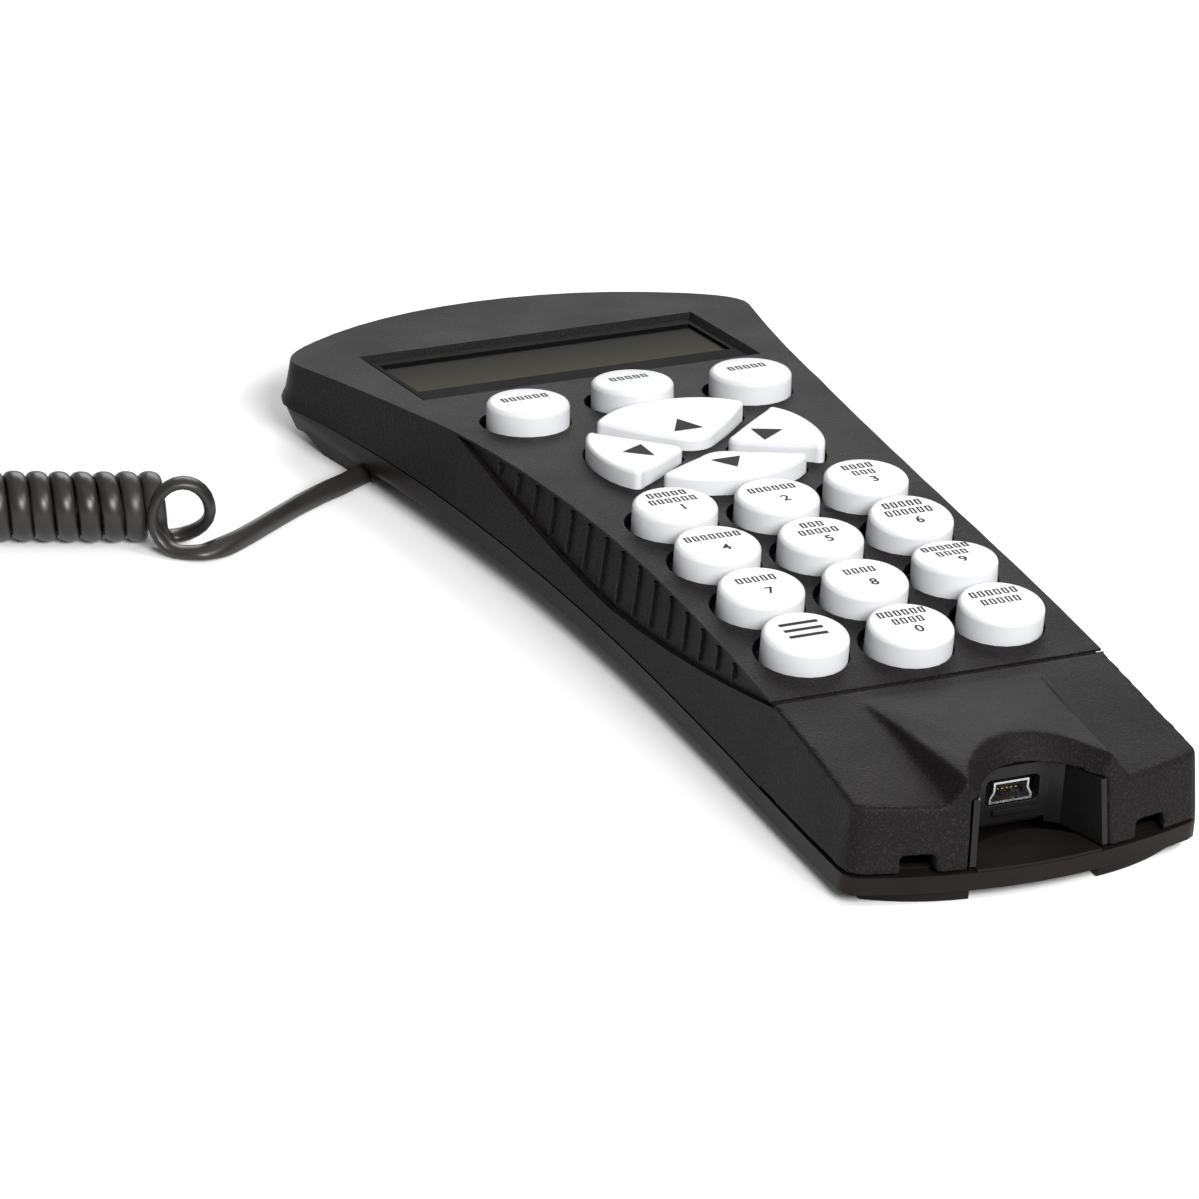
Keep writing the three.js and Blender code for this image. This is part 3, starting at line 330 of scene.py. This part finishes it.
def round_edges(piece, width):
    """Rounds a piece's sharp edges over and shades it smoothly."""
    bevel = piece.modifiers.new("rounding", "BEVEL")
    bevel.width = width
    bevel.segments = ROUNDING_SEGMENTS
    bevel.limit_method = "ANGLE"
    bevel.angle_limit = math.radians(ROUNDED_FROM)
    shade_smooth(piece.data)
    normals = piece.modifiers.new("normals", "WEIGHTED_NORMAL")
    normals.weight = LARGE_FACE_WEIGHT


def rounded_copy(node, look, width):
    """A copy of a CAD node whose sharp edges are rounded over."""
    mesh = mesh_from(skin_sheet(node), node + "_skin")
    round_edges(add_piece(node + "_skin", mesh, look, "handset", node), width)


def lathe(profile, steps):
    """A closed mesh: the profile (radius, height) turned round Z, in millimetres."""
    sheet = bmesh.new()
    rings = []
    for radius, height in profile:
        if radius == 0:
            rings.append([sheet.verts.new((0, 0, height))])
            continue
        ring = []
        for i in range(steps):
            angle = 2 * math.pi * i / steps
            spot = (radius * math.cos(angle), radius * math.sin(angle), height)
            ring.append(sheet.verts.new(spot))
        rings.append(ring)
    for lower, upper in zip(rings, rings[1:]):
        for i in range(steps):
            corners = [lower[i % len(lower)], lower[(i + 1) % len(lower)]]
            corners += [upper[(i + 1) % len(upper)], upper[i % len(upper)]]
            sheet.faces.new(list(dict.fromkeys(corners)))
    return sheet


def join_rings(sheet, lower, upper):
    """The faces between two rings with as many points each."""
    for i in range(len(lower)):
        j = (i + 1) % len(lower)
        sheet.faces.new((lower[i], lower[j], upper[j], upper[i]))


def to_mesh(sheet, name, place, sharp_from=SHARP_FROM):
    """The mesh in the world, from a sheet in millimetres, with smooth shading."""
    bmesh.ops.recalc_face_normals(sheet, faces=sheet.faces)
    mesh = mesh_from(sheet, name)
    mesh.transform(place)
    shade_smooth(mesh)
    mesh.set_sharp_from_angle(angle=math.radians(sharp_from))
    return mesh


# ------------------------------------------------------------------ casing
# The front casing comes in two pieces that overlap a little in its groove.  The port end is
# softened from its groove outwards, and more on its face than low on its walls.

KEYPAD_CUT_Y = -30.3
PORT_CUT_Y = -29.4
SOFT_Y = (-31, -35)
SOFT_Z = (-13, -7)
SOFT_LEAST = 0.25
SOFT_STEPS = 10
SOFT_STEP_SHARE = 0.5
VOXEL = 0.42
FINE_EDGE = 0.35 * MM
SHELL_EDGE = 0.4 * MM
LINER_EDGE = 0.15 * MM


def cut_sheet(node, y, keep_port_end):
    """The CAD node's sheet cut across at y, with one side kept and the cut closed.

    What is left is made of triangles, so that no face keeps a notch or a hole.
    """
    sheet = skin_sheet(node)
    where = CASE @ Vector((0, y, 0))
    across = (CASE.to_3x3() @ Vector((0, 1, 0))).normalized()
    cut = bmesh.ops.bisect_plane(
        sheet, geom=sheet.verts[:] + sheet.edges[:] + sheet.faces[:], plane_co=where,
        plane_no=across, clear_outer=keep_port_end, clear_inner=not keep_port_end,
    )
    rim = [part for part in cut["geom_cut"] if isinstance(part, bmesh.types.BMEdge)]
    bmesh.ops.holes_fill(sheet, edges=rim)
    bmesh.ops.triangulate(sheet, faces=sheet.faces)
    bmesh.ops.recalc_face_normals(sheet, faces=sheet.faces)
    return sheet


def ramp(value, start, end):
    """0 before start, 1 after end, and straight between them."""
    return min(1.0, max(0.0, (value - start) / (end - start)))


def add_keypad_skin():
    """The front casing from its groove to the display, with fine edges."""
    sheet = cut_sheet("front_shell", KEYPAD_CUT_Y, False)
    mesh = mesh_from(sheet, "front_shell_skin")
    piece = add_piece("front_shell_skin", mesh, "casing", "handset", "front_shell")
    round_edges(piece, FINE_EDGE)


def refine(piece):
    """Gives the piece small even faces all over."""
    remesh = piece.modifiers.new("remesh", "REMESH")
    remesh.mode = "VOXEL"
    remesh.voxel_size = VOXEL * MM
    fine = applied_mesh(piece)
    fine.name = piece.name
    piece.modifiers.clear()
    piece.data = fine


def add_port_end_skin():
    """The softly moulded end of the front casing, with the hood over the port."""
    sheet = cut_sheet("front_shell", PORT_CUT_Y, True)
    mesh = mesh_from(sheet, "port_end_skin")
    piece = add_piece("port_end_skin", mesh, "casing", "handset", "front_shell")
    refine(piece)
    shade_smooth(piece.data)
    group = piece.vertex_groups.new(name="soft")
    to_case = CASE.inverted()
    for vertex in piece.data.vertices:
        spot = to_case @ vertex.co
        high = SOFT_LEAST + (1 - SOFT_LEAST) * ramp(spot.z, *SOFT_Z)
        group.add([vertex.index], high * ramp(spot.y, *SOFT_Y), "REPLACE")
    soften = piece.modifiers.new("soften", "SMOOTH")
    soften.factor = SOFT_STEP_SHARE
    soften.iterations = SOFT_STEPS
    soften.vertex_group = "soft"


add_keypad_skin()
add_port_end_skin()
rounded_copy("rear_shell", "rear_casing", SHELL_EDGE)
rounded_copy("port_liner", "black_plastic", LINER_EDGE)
for foot in ("foot_left", "foot_right"):
    rounded_copy(foot, "rear_casing", SHELL_EDGE)

# ------------------------------------------------------------------ round keys
# Heights are from the face, and a cap goes down through its hole to KEY_FOOT.

KEY_RADIUS = 7.25
KEY_TOP = 3.75
KEY_FOOT = -3.9
KEY_FLARE = 0.05
KEY_EDGE = 0.95
KEY_EDGE_STEPS = 7
KEY_CROWN = 0.05
KEY_SIDES = 80
COLUMN_PITCH = 18
ROW_PITCH = 16.5
MIDDLE_DROP = 2.3
TOP_ROW_Y = 84.6
TOP_ROW_PITCH = 21.5
TOP_ROW_RISE = 3
ASKEW = {"key_6": 0.07, "key_9": -0.1}  # two keys stand a little crooked, in radians
ROWS = (
    ("key_1", "key_2", "key_3"),
    ("key_4", "key_5", "key_6"),
    ("key_7", "key_8", "key_9"),
    ("key_lower_left", "key_0", "key_lower_right"),
)


def key_places():
    """Each round key's name, with the frame that its cap is drawn in."""
    for row, names in enumerate(ROWS):
        for column, name in enumerate(names):
            side = column - 1
            y = (2 - row) * ROW_PITCH - (0 if side else MIDDLE_DROP)
            yield name, on_face(side * COLUMN_PITCH, y, ASKEW.get(name, 0.0))
    for side, name in zip((-1, 0, 1), ("key_top_left", "key_top_middle", "key_top_right")):
        y = TOP_ROW_Y + (0 if side else TOP_ROW_RISE)
        yield name, on_face(side * TOP_ROW_PITCH, y)


def round_key():
    """A round cap: a wall that flares to its foot, a rounded rim and a lightly crowned top."""
    profile = [(0, KEY_FOOT), (KEY_RADIUS + KEY_FLARE, KEY_FOOT)]
    for i in range(KEY_EDGE_STEPS + 1):
        angle = math.pi / 2 * i / KEY_EDGE_STEPS
        radius = KEY_RADIUS - KEY_EDGE + KEY_EDGE * math.cos(angle)
        profile.append((radius, KEY_TOP - KEY_EDGE + KEY_EDGE * math.sin(angle)))
    profile.append((KEY_RADIUS / 2, KEY_TOP + KEY_CROWN * 3 / 4))
    profile.append((0, KEY_TOP + KEY_CROWN))
    return lathe(profile, KEY_SIDES)


KEY_PLACES = dict(key_places())
for name, place in KEY_PLACES.items():
    mesh = to_mesh(round_key(), name + "_cap", place)
    add_piece(name + "_cap", mesh, "key", name, name)

# ------------------------------------------------------------------ legends of the round keys
# Numerals, and rows of small hollow boxes where words would stand: for each row, how many
# boxes and how far up the key their middle is.  One key has three bars instead.

PRINT_LIFT = 0.03
NUMERAL_SIZE = 3
NUMERAL_BOLD = 0.05
NUMERAL_AT = (0.6, -2)
MARK = {"width": 1.05, "height": 1.8, "stroke": 0.34, "bar": 0.2, "pitch": 1.5}
MARK_ROWS = {
    "key_1": ((5, 3.7), (6, 1.1)),
    "key_2": ((6, 2.4),),
    "key_3": ((4, 3.7), (3, 1.1)),
    "key_4": ((7, 2.4),),
    "key_5": ((3, 3.7), (5, 1.1)),
    "key_6": ((5, 3.7), (6, 1.1)),
    "key_7": ((5, 2.4),),
    "key_8": ((4, 2.4),),
    "key_9": ((6, 3.7), (4, 1.1)),
    "key_0": ((6, 3.7), (4, 1.1)),
    "key_lower_right": ((6, 3.2), (5, 0.4)),
    "key_top_left": ((6, 1.6),),
    "key_top_middle": ((5, 1.6),),
    "key_top_right": ((5, 1.6),),
}
LIST_KEY = "key_lower_left"
LIST_ROWS = (2.6, 0.6, -1.4)
LIST_WIDTH = 7
LIST_HEIGHT = 0.85


def add_bar(sheet, left, right, low, high, height):
    """A flat rectangle at that height."""
    corners = ((left, low), (right, low), (right, high), (left, high))
    sheet.faces.new([sheet.verts.new((x, y, height)) for x, y in corners])


def mark_row(sheet, count, middle, height):
    """A row of that many small hollow boxes, centred on X."""
    wide, tall, stroke, bar = MARK["width"], MARK["height"], MARK["stroke"], MARK["bar"]
    low = middle - tall / 2
    high = middle + tall / 2
    for i in range(count):
        left = (i - (count - 1) / 2) * MARK["pitch"] - wide / 2
        right = left + wide
        add_bar(sheet, left, right, low, low + bar, height)
        add_bar(sheet, left, right, high - bar, high, height)
        add_bar(sheet, left, left + stroke, low + bar, high - bar, height)
        add_bar(sheet, right - stroke, right, low + bar, high - bar, height)


def add_numeral(sheet, digit, height):
    """The digit in Blender's own font, flat at that height."""
    text = bpy.data.curves.new("numeral", "FONT")
    text.body = digit
    text.size = NUMERAL_SIZE
    text.offset = NUMERAL_BOLD
    text.align_x = "CENTER"
    text.align_y = "CENTER"
    carrier = bpy.data.objects.new("numeral", text)
    bpy.context.scene.collection.objects.link(carrier)
    flat = applied_mesh(carrier)
    bpy.data.objects.remove(carrier)
    flat.transform(Matrix.Translation((*NUMERAL_AT, height)))
    sheet.from_mesh(flat)
    bpy.data.meshes.remove(flat)


def add_legend(name, place):
    """What is printed on a round key, just above its top."""
    height = KEY_TOP + KEY_CROWN + PRINT_LIFT
    sheet = bmesh.new()
    for count, middle in MARK_ROWS.get(name, ()):
        mark_row(sheet, count, middle, height)
    if name == LIST_KEY:
        for middle in LIST_ROWS:
            add_bar(sheet, -LIST_WIDTH / 2, LIST_WIDTH / 2, middle, middle + LIST_HEIGHT, height)
    if name[-1].isdigit():
        add_numeral(sheet, name[-1], height)
    add_piece(name + "_legend", to_mesh(sheet, name + "_legend", place), "ink", name)


for name, place in KEY_PLACES.items():
    add_legend(name, place)

# ------------------------------------------------------------------ direction pad
# Each key is drawn pointing along +Y and then turned.  A lobe lists its turn, its inner and
# outer reach, its corner, its shoulder, and how far out its middle is.

PAD_TOP = 3.0
PAD_DISH = 0.9
PAD_REACH = 20
PAD_EDGE = 0.75
PAD_EDGE_STEPS = 6
PAD_RING_SHARES = (0.8, 0.6, 0.4, 0.2)
LOBES = {
    "key_up": (0, 2.6, 20, (14.4, 14.2), (4.2, 4.7), 9),
    "key_left": (90, 4.6, 20.7, (10.4, 17.4), (2.2, 6.4), 13.4),
    "key_down": (180, 3.8, 17.6, (13.9, 12), (4, 5.4), 10.2),
    "key_right": (-90, 4.6, 20.7, (10.4, 17.4), (2.2, 6.4), 12.4),
}

# How a lobe's corner is rounded, its side bulges and its two ends are curved.
CORNER_ROUND = 1.2
CORNER_BEND = 0.9
TIP_SHIFT = (0.8, 0.6)
SIDE_BULGE = 0.3
SHOULDER_PULL = 0.5
OUTER_PULL = 0.58
SHOULDER_STEPS = 8
SIDE_STEPS = 10
CORNER_STEPS = 8
OUTER_STEPS = 14

ARROW_HALF_WIDTH = 2.8
ARROW_LENGTH = 4.8
ARROW_LIFT = 0.06


def quadratic(start, by, end, steps):
    """Points along a quadratic curve, without its last one."""
    points = []
    for i in range(steps):
        t = i / steps
        points.append(tuple(
            a * (1 - t) ** 2 + 2 * b * t * (1 - t) + c * t * t for a, b, c in zip(start, by, end)
        ))
    return points


def lobe_outline(inner, outer, corner, shoulder):
    """A direction key's outline, pointing along +Y, the right half first."""
    side = (corner[0] - CORNER_ROUND, corner[1] - CORNER_ROUND)
    bulge = (
        (shoulder[0] + side[0]) / 2 + SIDE_BULGE,
        (shoulder[1] + side[1]) / 2 - SIDE_BULGE,
    )
    tip = (corner[0] - TIP_SHIFT[0], corner[1] + TIP_SHIFT[1])
    right = quadratic((0, inner), (shoulder[0] * SHOULDER_PULL, inner), shoulder, SHOULDER_STEPS)
    right += quadratic(shoulder, bulge, side, SIDE_STEPS)
    right += quadratic(side, (corner[0], side[1] + CORNER_BEND), tip, CORNER_STEPS)
    right += quadratic(tip, (corner[0] * OUTER_PULL, outer), (0, outer), OUTER_STEPS)
    left = [(-x, y) for x, y in right[1:]]
    return right + [(0, outer)] + left[::-1]


def outward(outline):
    """The outline's outward normals, each from its two neighbours."""
    normals = []
    count = len(outline)
    for i in range(count):
        ax, ay = outline[i - 1]
        bx, by = outline[(i + 1) % count]
        length = math.hypot(bx - ax, by - ay)
        normals.append(((by - ay) / length, (ax - bx) / length))
    return normals


def pad_height(x, y):
    """The height of the pad's dished top."""
    return PAD_TOP - PAD_DISH * (1 - (x * x + y * y) / PAD_REACH ** 2)


def pad_key(inner, outer, corner, shoulder, middle):
    """A direction key: upright walls, a rounded rim and a top that falls to the pad's middle."""
    outline = lobe_outline(inner, outer, corner, shoulder)
    normals = outward(outline)
    sheet = bmesh.new()
    rings = [[sheet.verts.new((x, y, KEY_FOOT)) for x, y in outline]]
    for step in range(PAD_EDGE_STEPS + 1):
        angle = math.pi / 2 * step / PAD_EDGE_STEPS
        inset = PAD_EDGE * (1 - math.cos(angle))
        drop = PAD_EDGE * (1 - math.sin(angle))
        ring = []
        for (x, y), (nx, ny) in zip(outline, normals):
            spot = (x - nx * inset, y - ny * inset)
            ring.append(sheet.verts.new((*spot, pad_height(*spot) - drop)))
        rings.append(ring)
    rim = [vert.co.copy() for vert in rings[-1]]
    for share in PAD_RING_SHARES:
        ring = []
        for spot in rim:
            x = spot.x * share
            y = middle + (spot.y - middle) * share
            ring.append(sheet.verts.new((x, y, pad_height(x, y))))
        rings.append(ring)
    for lower, upper in zip(rings, rings[1:]):
        join_rings(sheet, lower, upper)
    sheet.faces.new(rings[0])
    peak = sheet.verts.new((0, middle, pad_height(0, middle)))
    for i in range(len(outline)):
        sheet.faces.new((rings[-1][i], rings[-1][(i + 1) % len(outline)], peak))
    return sheet


def arrow(middle):
    """A printed triangle that points outwards."""
    low = middle - ARROW_LENGTH / 2
    corners = ((-ARROW_HALF_WIDTH, low), (ARROW_HALF_WIDTH, low), (0, low + ARROW_LENGTH))
    sheet = bmesh.new()
    spots = [(x, y, pad_height(x, y) + ARROW_LIFT) for x, y in corners]
    sheet.faces.new([sheet.verts.new(spot) for spot in spots])
    return sheet


for name, (degrees, *form, middle) in LOBES.items():
    place = on_face(0, PAD_Y) @ Matrix.Rotation(math.radians(degrees), 4, "Z")
    cap = to_mesh(pad_key(*form, middle), name + "_cap", place)
    add_piece(name + "_cap", cap, "key", name, name)
    add_piece(name + "_arrow", to_mesh(arrow(middle), name + "_arrow", place), "ink", name)

# ------------------------------------------------------------------ display
# The window's dark printed border, and the liquid crystal panel seen inside it.

WINDOW = (63.2, 26.2)
VIEW = (61.4, 17.4)
VIEW_Y = 1.9
PANEL_DROP = 0.6
PANEL_DEPTH = 5
PANEL_INSET = 0.05
PANEL_EDGE = 0.1


def rectangle(sheet, half_width, half_length, shift, height):
    """A ring of four corners, its middle moved along Y by the shift."""
    corners = ((-1, -1), (1, -1), (1, 1), (-1, 1))
    return [
        sheet.verts.new((x * half_width, shift + y * half_length, height)) for x, y in corners
    ]


def liquid_crystal_panel():
    """The panel: a plate whose upper edges are chamfered."""
    top = WINDOW_TOP - PANEL_DROP
    half_width = VIEW[0] / 2 - PANEL_INSET
    half_length = VIEW[1] / 2 - PANEL_INSET
    sheet = bmesh.new()
    rings = [
        rectangle(sheet, half_width - inset, half_length - inset, VIEW_Y, height)
        for inset, height in ((0, top - PANEL_DEPTH), (0, top - PANEL_EDGE), (PANEL_EDGE, top))
    ]
    for lower, upper in zip(rings, rings[1:]):
        join_rings(sheet, lower, upper)
    sheet.faces.new(rings[0])
    sheet.faces.new(rings[-1])
    return sheet


def window_border():
    """The window as a frame round the part of it that is seen through."""
    sheet = bmesh.new()
    low = WINDOW_TOP - WINDOW_THICK
    rings = [
        rectangle(sheet, WINDOW[0] / 2, WINDOW[1] / 2, 0, low),
        rectangle(sheet, WINDOW[0] / 2, WINDOW[1] / 2, 0, WINDOW_TOP),
        rectangle(sheet, VIEW[0] / 2, VIEW[1] / 2, VIEW_Y, WINDOW_TOP),
        rectangle(sheet, VIEW[0] / 2, VIEW[1] / 2, VIEW_Y, low),
    ]
    for lower, upper in zip(rings, rings[1:] + rings[:1]):
        join_rings(sheet, lower, upper)
    return sheet


display_place = on_face(0, DISPLAY_Y)
border = to_mesh(window_border(), "window_border", display_place)
add_piece("window_border", border, "window", "handset", "display_window")
panel = to_mesh(liquid_crystal_panel(), "display_panel", display_place)
add_piece("display_panel", panel, "display", "handset", "display_glass")

# ------------------------------------------------------------------ cord
# The wire in millimetres on the table: out of the boot, one open turn standing up that
# faces the camera, then the close turns, then the plug.  Its section is a flat oval.

WIRE_WIDE = 3.7
WIRE_THIN = 2.15
WIRE_SIDES = 14
WIRE_STEP = 1.2
WIRE_SHARP_FROM = 60
FLOOR_GAP = 0.05
LEAD = (
    (-35.2, 71.3, 2.1), (-38.2, 69.6, 2), (-42, 67.6, 1.95), (-45.4, 65.8, 1.9),
    (-48.7, 64.3, 1.88), (-52, 62.5, 1.88), (-55.5, 60.5, 1.88), (-59.5, 57.9, 1.88),
    (-63.6, 55.2, 1.88), (-67.8, 52.4, 1.88), (-71.8, 50.0, 1.85), (-75.3, 48.6, 1.75),
    (-78.6, 48.4, 1.5),
)
OPEN_START = Vector((-82.2, 50.6))
OPEN_HEADING = Vector((0.442, 0.897))
OPEN_HALF_WIDTH = 4.85
OPEN_HALF_HEIGHT = 5.7
OPEN_ADVANCE = 9
OPEN_SLOWING = 3
LEAD_SHORT = 0.3
LEAD_SLANT = (0.8, 0.6)
LEAD_LIES_FROM = 0.75
TURN_RADIUS = 5.1
PITCH = 3.9
TURN_STEPS = 24

# In turns: where the close turns' axis starts, and where and over how much the open turn
# becomes a close one.
COIL_AT = 0.9
CLOSE_FROM = 0.75
CLOSE_OVER = 0.6

AXIS_STEP = 0.3
COIL = (
    (-82, 58.6), (-86.2, 60.1), (-94, 62.6), (-102, 65.5), (-117, 71.5), (-131, 80.5),
    (-139, 95.5), (-138, 112.5), (-128, 126.5), (-113, 133.5),
)
TAIL = (
    (-110.6, 136.4, 1.5), (-107, 137.4, 2.2), (-103, 137.1, 3), (-99.5, 136.9, 3.4),
    (-96.5, 137.2, 3.5),
)


def spline_points(points, step):
    """Points about a step apart on a smooth line through the given ones."""
    spots = [Vector(point) for point in points]
    spots = [2 * spots[0] - spots[1], *spots, 2 * spots[-1] - spots[-2]]
    line = []
    for before, start, end, after in zip(spots, spots[1:], spots[2:], spots[3:]):
        count = max(2, round((end - start).length / step))
        for i in range(count):
            t = i / count
            line.append(
                0.5 * (2 * start + (end - before) * t
                       + (2 * before - 5 * start + 4 * end - after) * t * t
                       + (3 * start - before - 3 * end + after) * t ** 3)
            )
    line.append(spots[-2])
    return line


def ease(value):
    """0 before 0, 1 after 1, and a smooth step between them."""
    value = min(1.0, max(0.0, value))
    return value * value * (3 - 2 * value)


def turn_point(axis, heading, turn, half_width, half_height):
    """A point of a standing turn: bottom first, then up on the left of its heading."""
    sideways = half_width * math.sin(2 * math.pi * turn)
    lift = half_height * (1 - math.cos(2 * math.pi * turn))
    height = WIRE_THIN / 2 + FLOOR_GAP + lift
    return Vector((axis.x - heading.y * sideways, axis.y + heading.x * sideways, height))


def helix():
    """The wound wire's points, each with the direction of its flat side's width."""
    line = spline_points(COIL, AXIS_STEP)
    travelled = [0.0]
    for a, b in zip(line, line[1:]):
        travelled.append(travelled[-1] + (b - a).length)
    turns = math.floor(travelled[-1] / PITCH + COIL_AT) - 1
    wire = []
    at = 0
    for i in range(turns * TURN_STEPS + 1):
        turn = i / TURN_STEPS
        along = max(0.0, (turn - COIL_AT) * PITCH)
        while at + 2 < len(line) and travelled[at + 1] < along:
            at += 1
        heading = (line[at + 1] - line[at]).normalized()
        axis = line[at] + heading * (along - travelled[at])
        close = turn_point(axis, heading, turn, TURN_RADIUS, TURN_RADIUS)
        advance = turn * (OPEN_ADVANCE - OPEN_SLOWING * min(turn, 1))
        middle = OPEN_START + OPEN_HEADING * advance
        loose = turn_point(middle, OPEN_HEADING, turn, OPEN_HALF_WIDTH, OPEN_HALF_HEIGHT)
        share = ease((turn - CLOSE_FROM) / CLOSE_OVER)
        wide = OPEN_HEADING.lerp(heading, share).normalized()
        wire.append((loose.lerp(close, share), Vector((wide.x, wide.y, 0))))
    return wire


def wire_line():
    """All the points of the wire with the direction of the oval's width at each.

    The lead's oval stands slanted until its last quarter, and the tail's lies flat.
    """
    wound = helix()
    first, wide = wound[0]
    last = wound[-1][0]
    lead = spline_points([*LEAD, first, wound[2][0], wound[4][0]], WIRE_STEP)
    lead = [point for point in lead if point.x > first.x + LEAD_SHORT]
    slanted = Vector((0, 0, LEAD_SLANT[0])) + wide * LEAD_SLANT[1]
    line = []
    for i, point in enumerate(lead):
        lying = ease((i / len(lead) - LEAD_LIES_FROM) / (1 - LEAD_LIES_FROM))
        line.append((point, slanted.lerp(wide, lying)))
    line += wound
    tail = spline_points([wound[-3][0], last, *TAIL], WIRE_STEP)
    start = min(range(len(tail)), key=lambda i: (tail[i] - last).length)
    wide = wound[-1][1]
    for before, point in zip(tail[start:], tail[start + 1:]):
        along = point - before
        level = Vector((-along.y, along.x, 0)).normalized()
        wide = level if level.dot(wide) > 0 else -level
        line.append((point, wide))
    return line


def wire_mesh(line):
    """The oval wire along its line, closed at both ends."""
    sheet = bmesh.new()
    rings = []
    for i, (point, wide) in enumerate(line):
        before = line[max(0, i - 1)][0]
        after = line[min(len(line) - 1, i + 1)][0]
        along = (after - before).normalized()
        flat = (wide - along * wide.dot(along)).normalized()
        thin = along.cross(flat)
        ring = []
        for j in range(WIRE_SIDES):
            angle = 2 * math.pi * j / WIRE_SIDES
            across = flat * (WIRE_WIDE / 2 * math.cos(angle))
            ring.append(sheet.verts.new(point + across + thin * (WIRE_THIN / 2 * math.sin(angle))))
        rings.append(ring)
    for lower, upper in zip(rings, rings[1:]):
        join_rings(sheet, lower, upper)
    sheet.faces.new(rings[0])
    sheet.faces.new(rings[-1])
    return to_mesh(sheet, "cord_wire", Matrix.Scale(MM, 4), WIRE_SHARP_FROM)


def add_cord():
    """The cord's wire, which stands for the CAD cord's lead, coil and tail."""
    line = wire_line()
    mesh = wire_mesh(line)
    wire = add_piece("cord_wire", mesh, "cord", "handset", "cord_lead", "cord_coil", "cord_tail")


add_cord()

# ------------------------------------------------------------------ stage
# In metres and watts.  A light lists its place, its width and length, and its power.

LENS = 220.1
SENSOR = 36
EYE = Vector((-0.5245, -1.0133, 0.53393))
RIGHT = Vector((0.906, -0.42033, 0.0492))
UP = Vector((0.138, 0.4034, 0.9045))
FLOOR_HALF = 6
FLOOR_BLOTCH = 4
FLOOR_TONES = ((0.88, 0.88, 0.88), (0.9, 0.9, 0.9))
FLOOR_ROUGH = 0.9
FLOOR_GLOSS = 0.1
WORLD_LIGHT = 0.3
LIGHTS = {
    "top_light": ((0, 0, 1.4), (1.4, 1.2), 3),
    "rear_light": ((0.75, 1.45, 0.95), (1.2, 0.9), 17),
    "front_light": ((-0.1, -1.5, 1.0), (0.8, 0.6), 43),
    "slope_light": ((0.6, -0.85, 1.05), (0.4, 0.4), 7),
}


def make_camera():
    """The camera at EYE, with the picture's right and up."""
    right = RIGHT.normalized()
    back = right.cross(UP).normalized()
    up = back.cross(right)
    data = bpy.data.cameras.new("camera")
    data.lens = LENS
    data.sensor_width = SENSOR
    camera = bpy.data.objects.new("camera", data)
    turn = Matrix((right, up, back)).transposed().to_4x4()
    camera.matrix_world = Matrix.Translation(EYE) @ turn
    bpy.context.scene.collection.objects.link(camera)
    bpy.context.scene.camera = camera


def make_light(name, place, size, power):
    """A rectangular light that faces the origin."""
    data = bpy.data.lights.new(name, "AREA")
    data.shape = "RECTANGLE"
    data.size, data.size_y = size
    data.energy = power
    light = bpy.data.objects.new(name, data)
    light.location = place
    light.rotation_euler = (-Vector(place)).to_track_quat("-Z", "Y").to_euler()
    bpy.context.scene.collection.objects.link(light)


def make_floor():
    """A pale matt floor."""
    sheet = bmesh.new()
    bmesh.ops.create_grid(sheet, x_segments=1, y_segments=1, size=FLOOR_HALF)
    mesh = mesh_from(sheet, "floor")
    floor = bpy.data.objects.new("floor", mesh)
    bpy.context.scene.collection.objects.link(floor)
    material, tree, shader = new_material("floor")
    colour = blend_colours(tree, noise(tree, object_coords(tree), FLOOR_BLOTCH), *FLOOR_TONES)
    tree.links.new(colour, shader.inputs["Base Color"])
    shader.inputs["Roughness"].default_value = FLOOR_ROUGH
    shader.inputs["Specular IOR Level"].default_value = FLOOR_GLOSS
    mesh.materials.append(material)


def make_world():
    """Even white light from all round."""
    world = bpy.data.worlds.new("studio")
    world.use_nodes = True
    background = world.node_tree.nodes["Background"]
    background.inputs["Color"].default_value = (1, 1, 1, 1)
    background.inputs["Strength"].default_value = WORLD_LIGHT
    bpy.context.scene.world = world
    bpy.context.scene.view_settings.view_transform = "Standard"


make_camera()
make_floor()
for name, (place, size, power) in LIGHTS.items():
    make_light(name, place, size, power)
make_world()
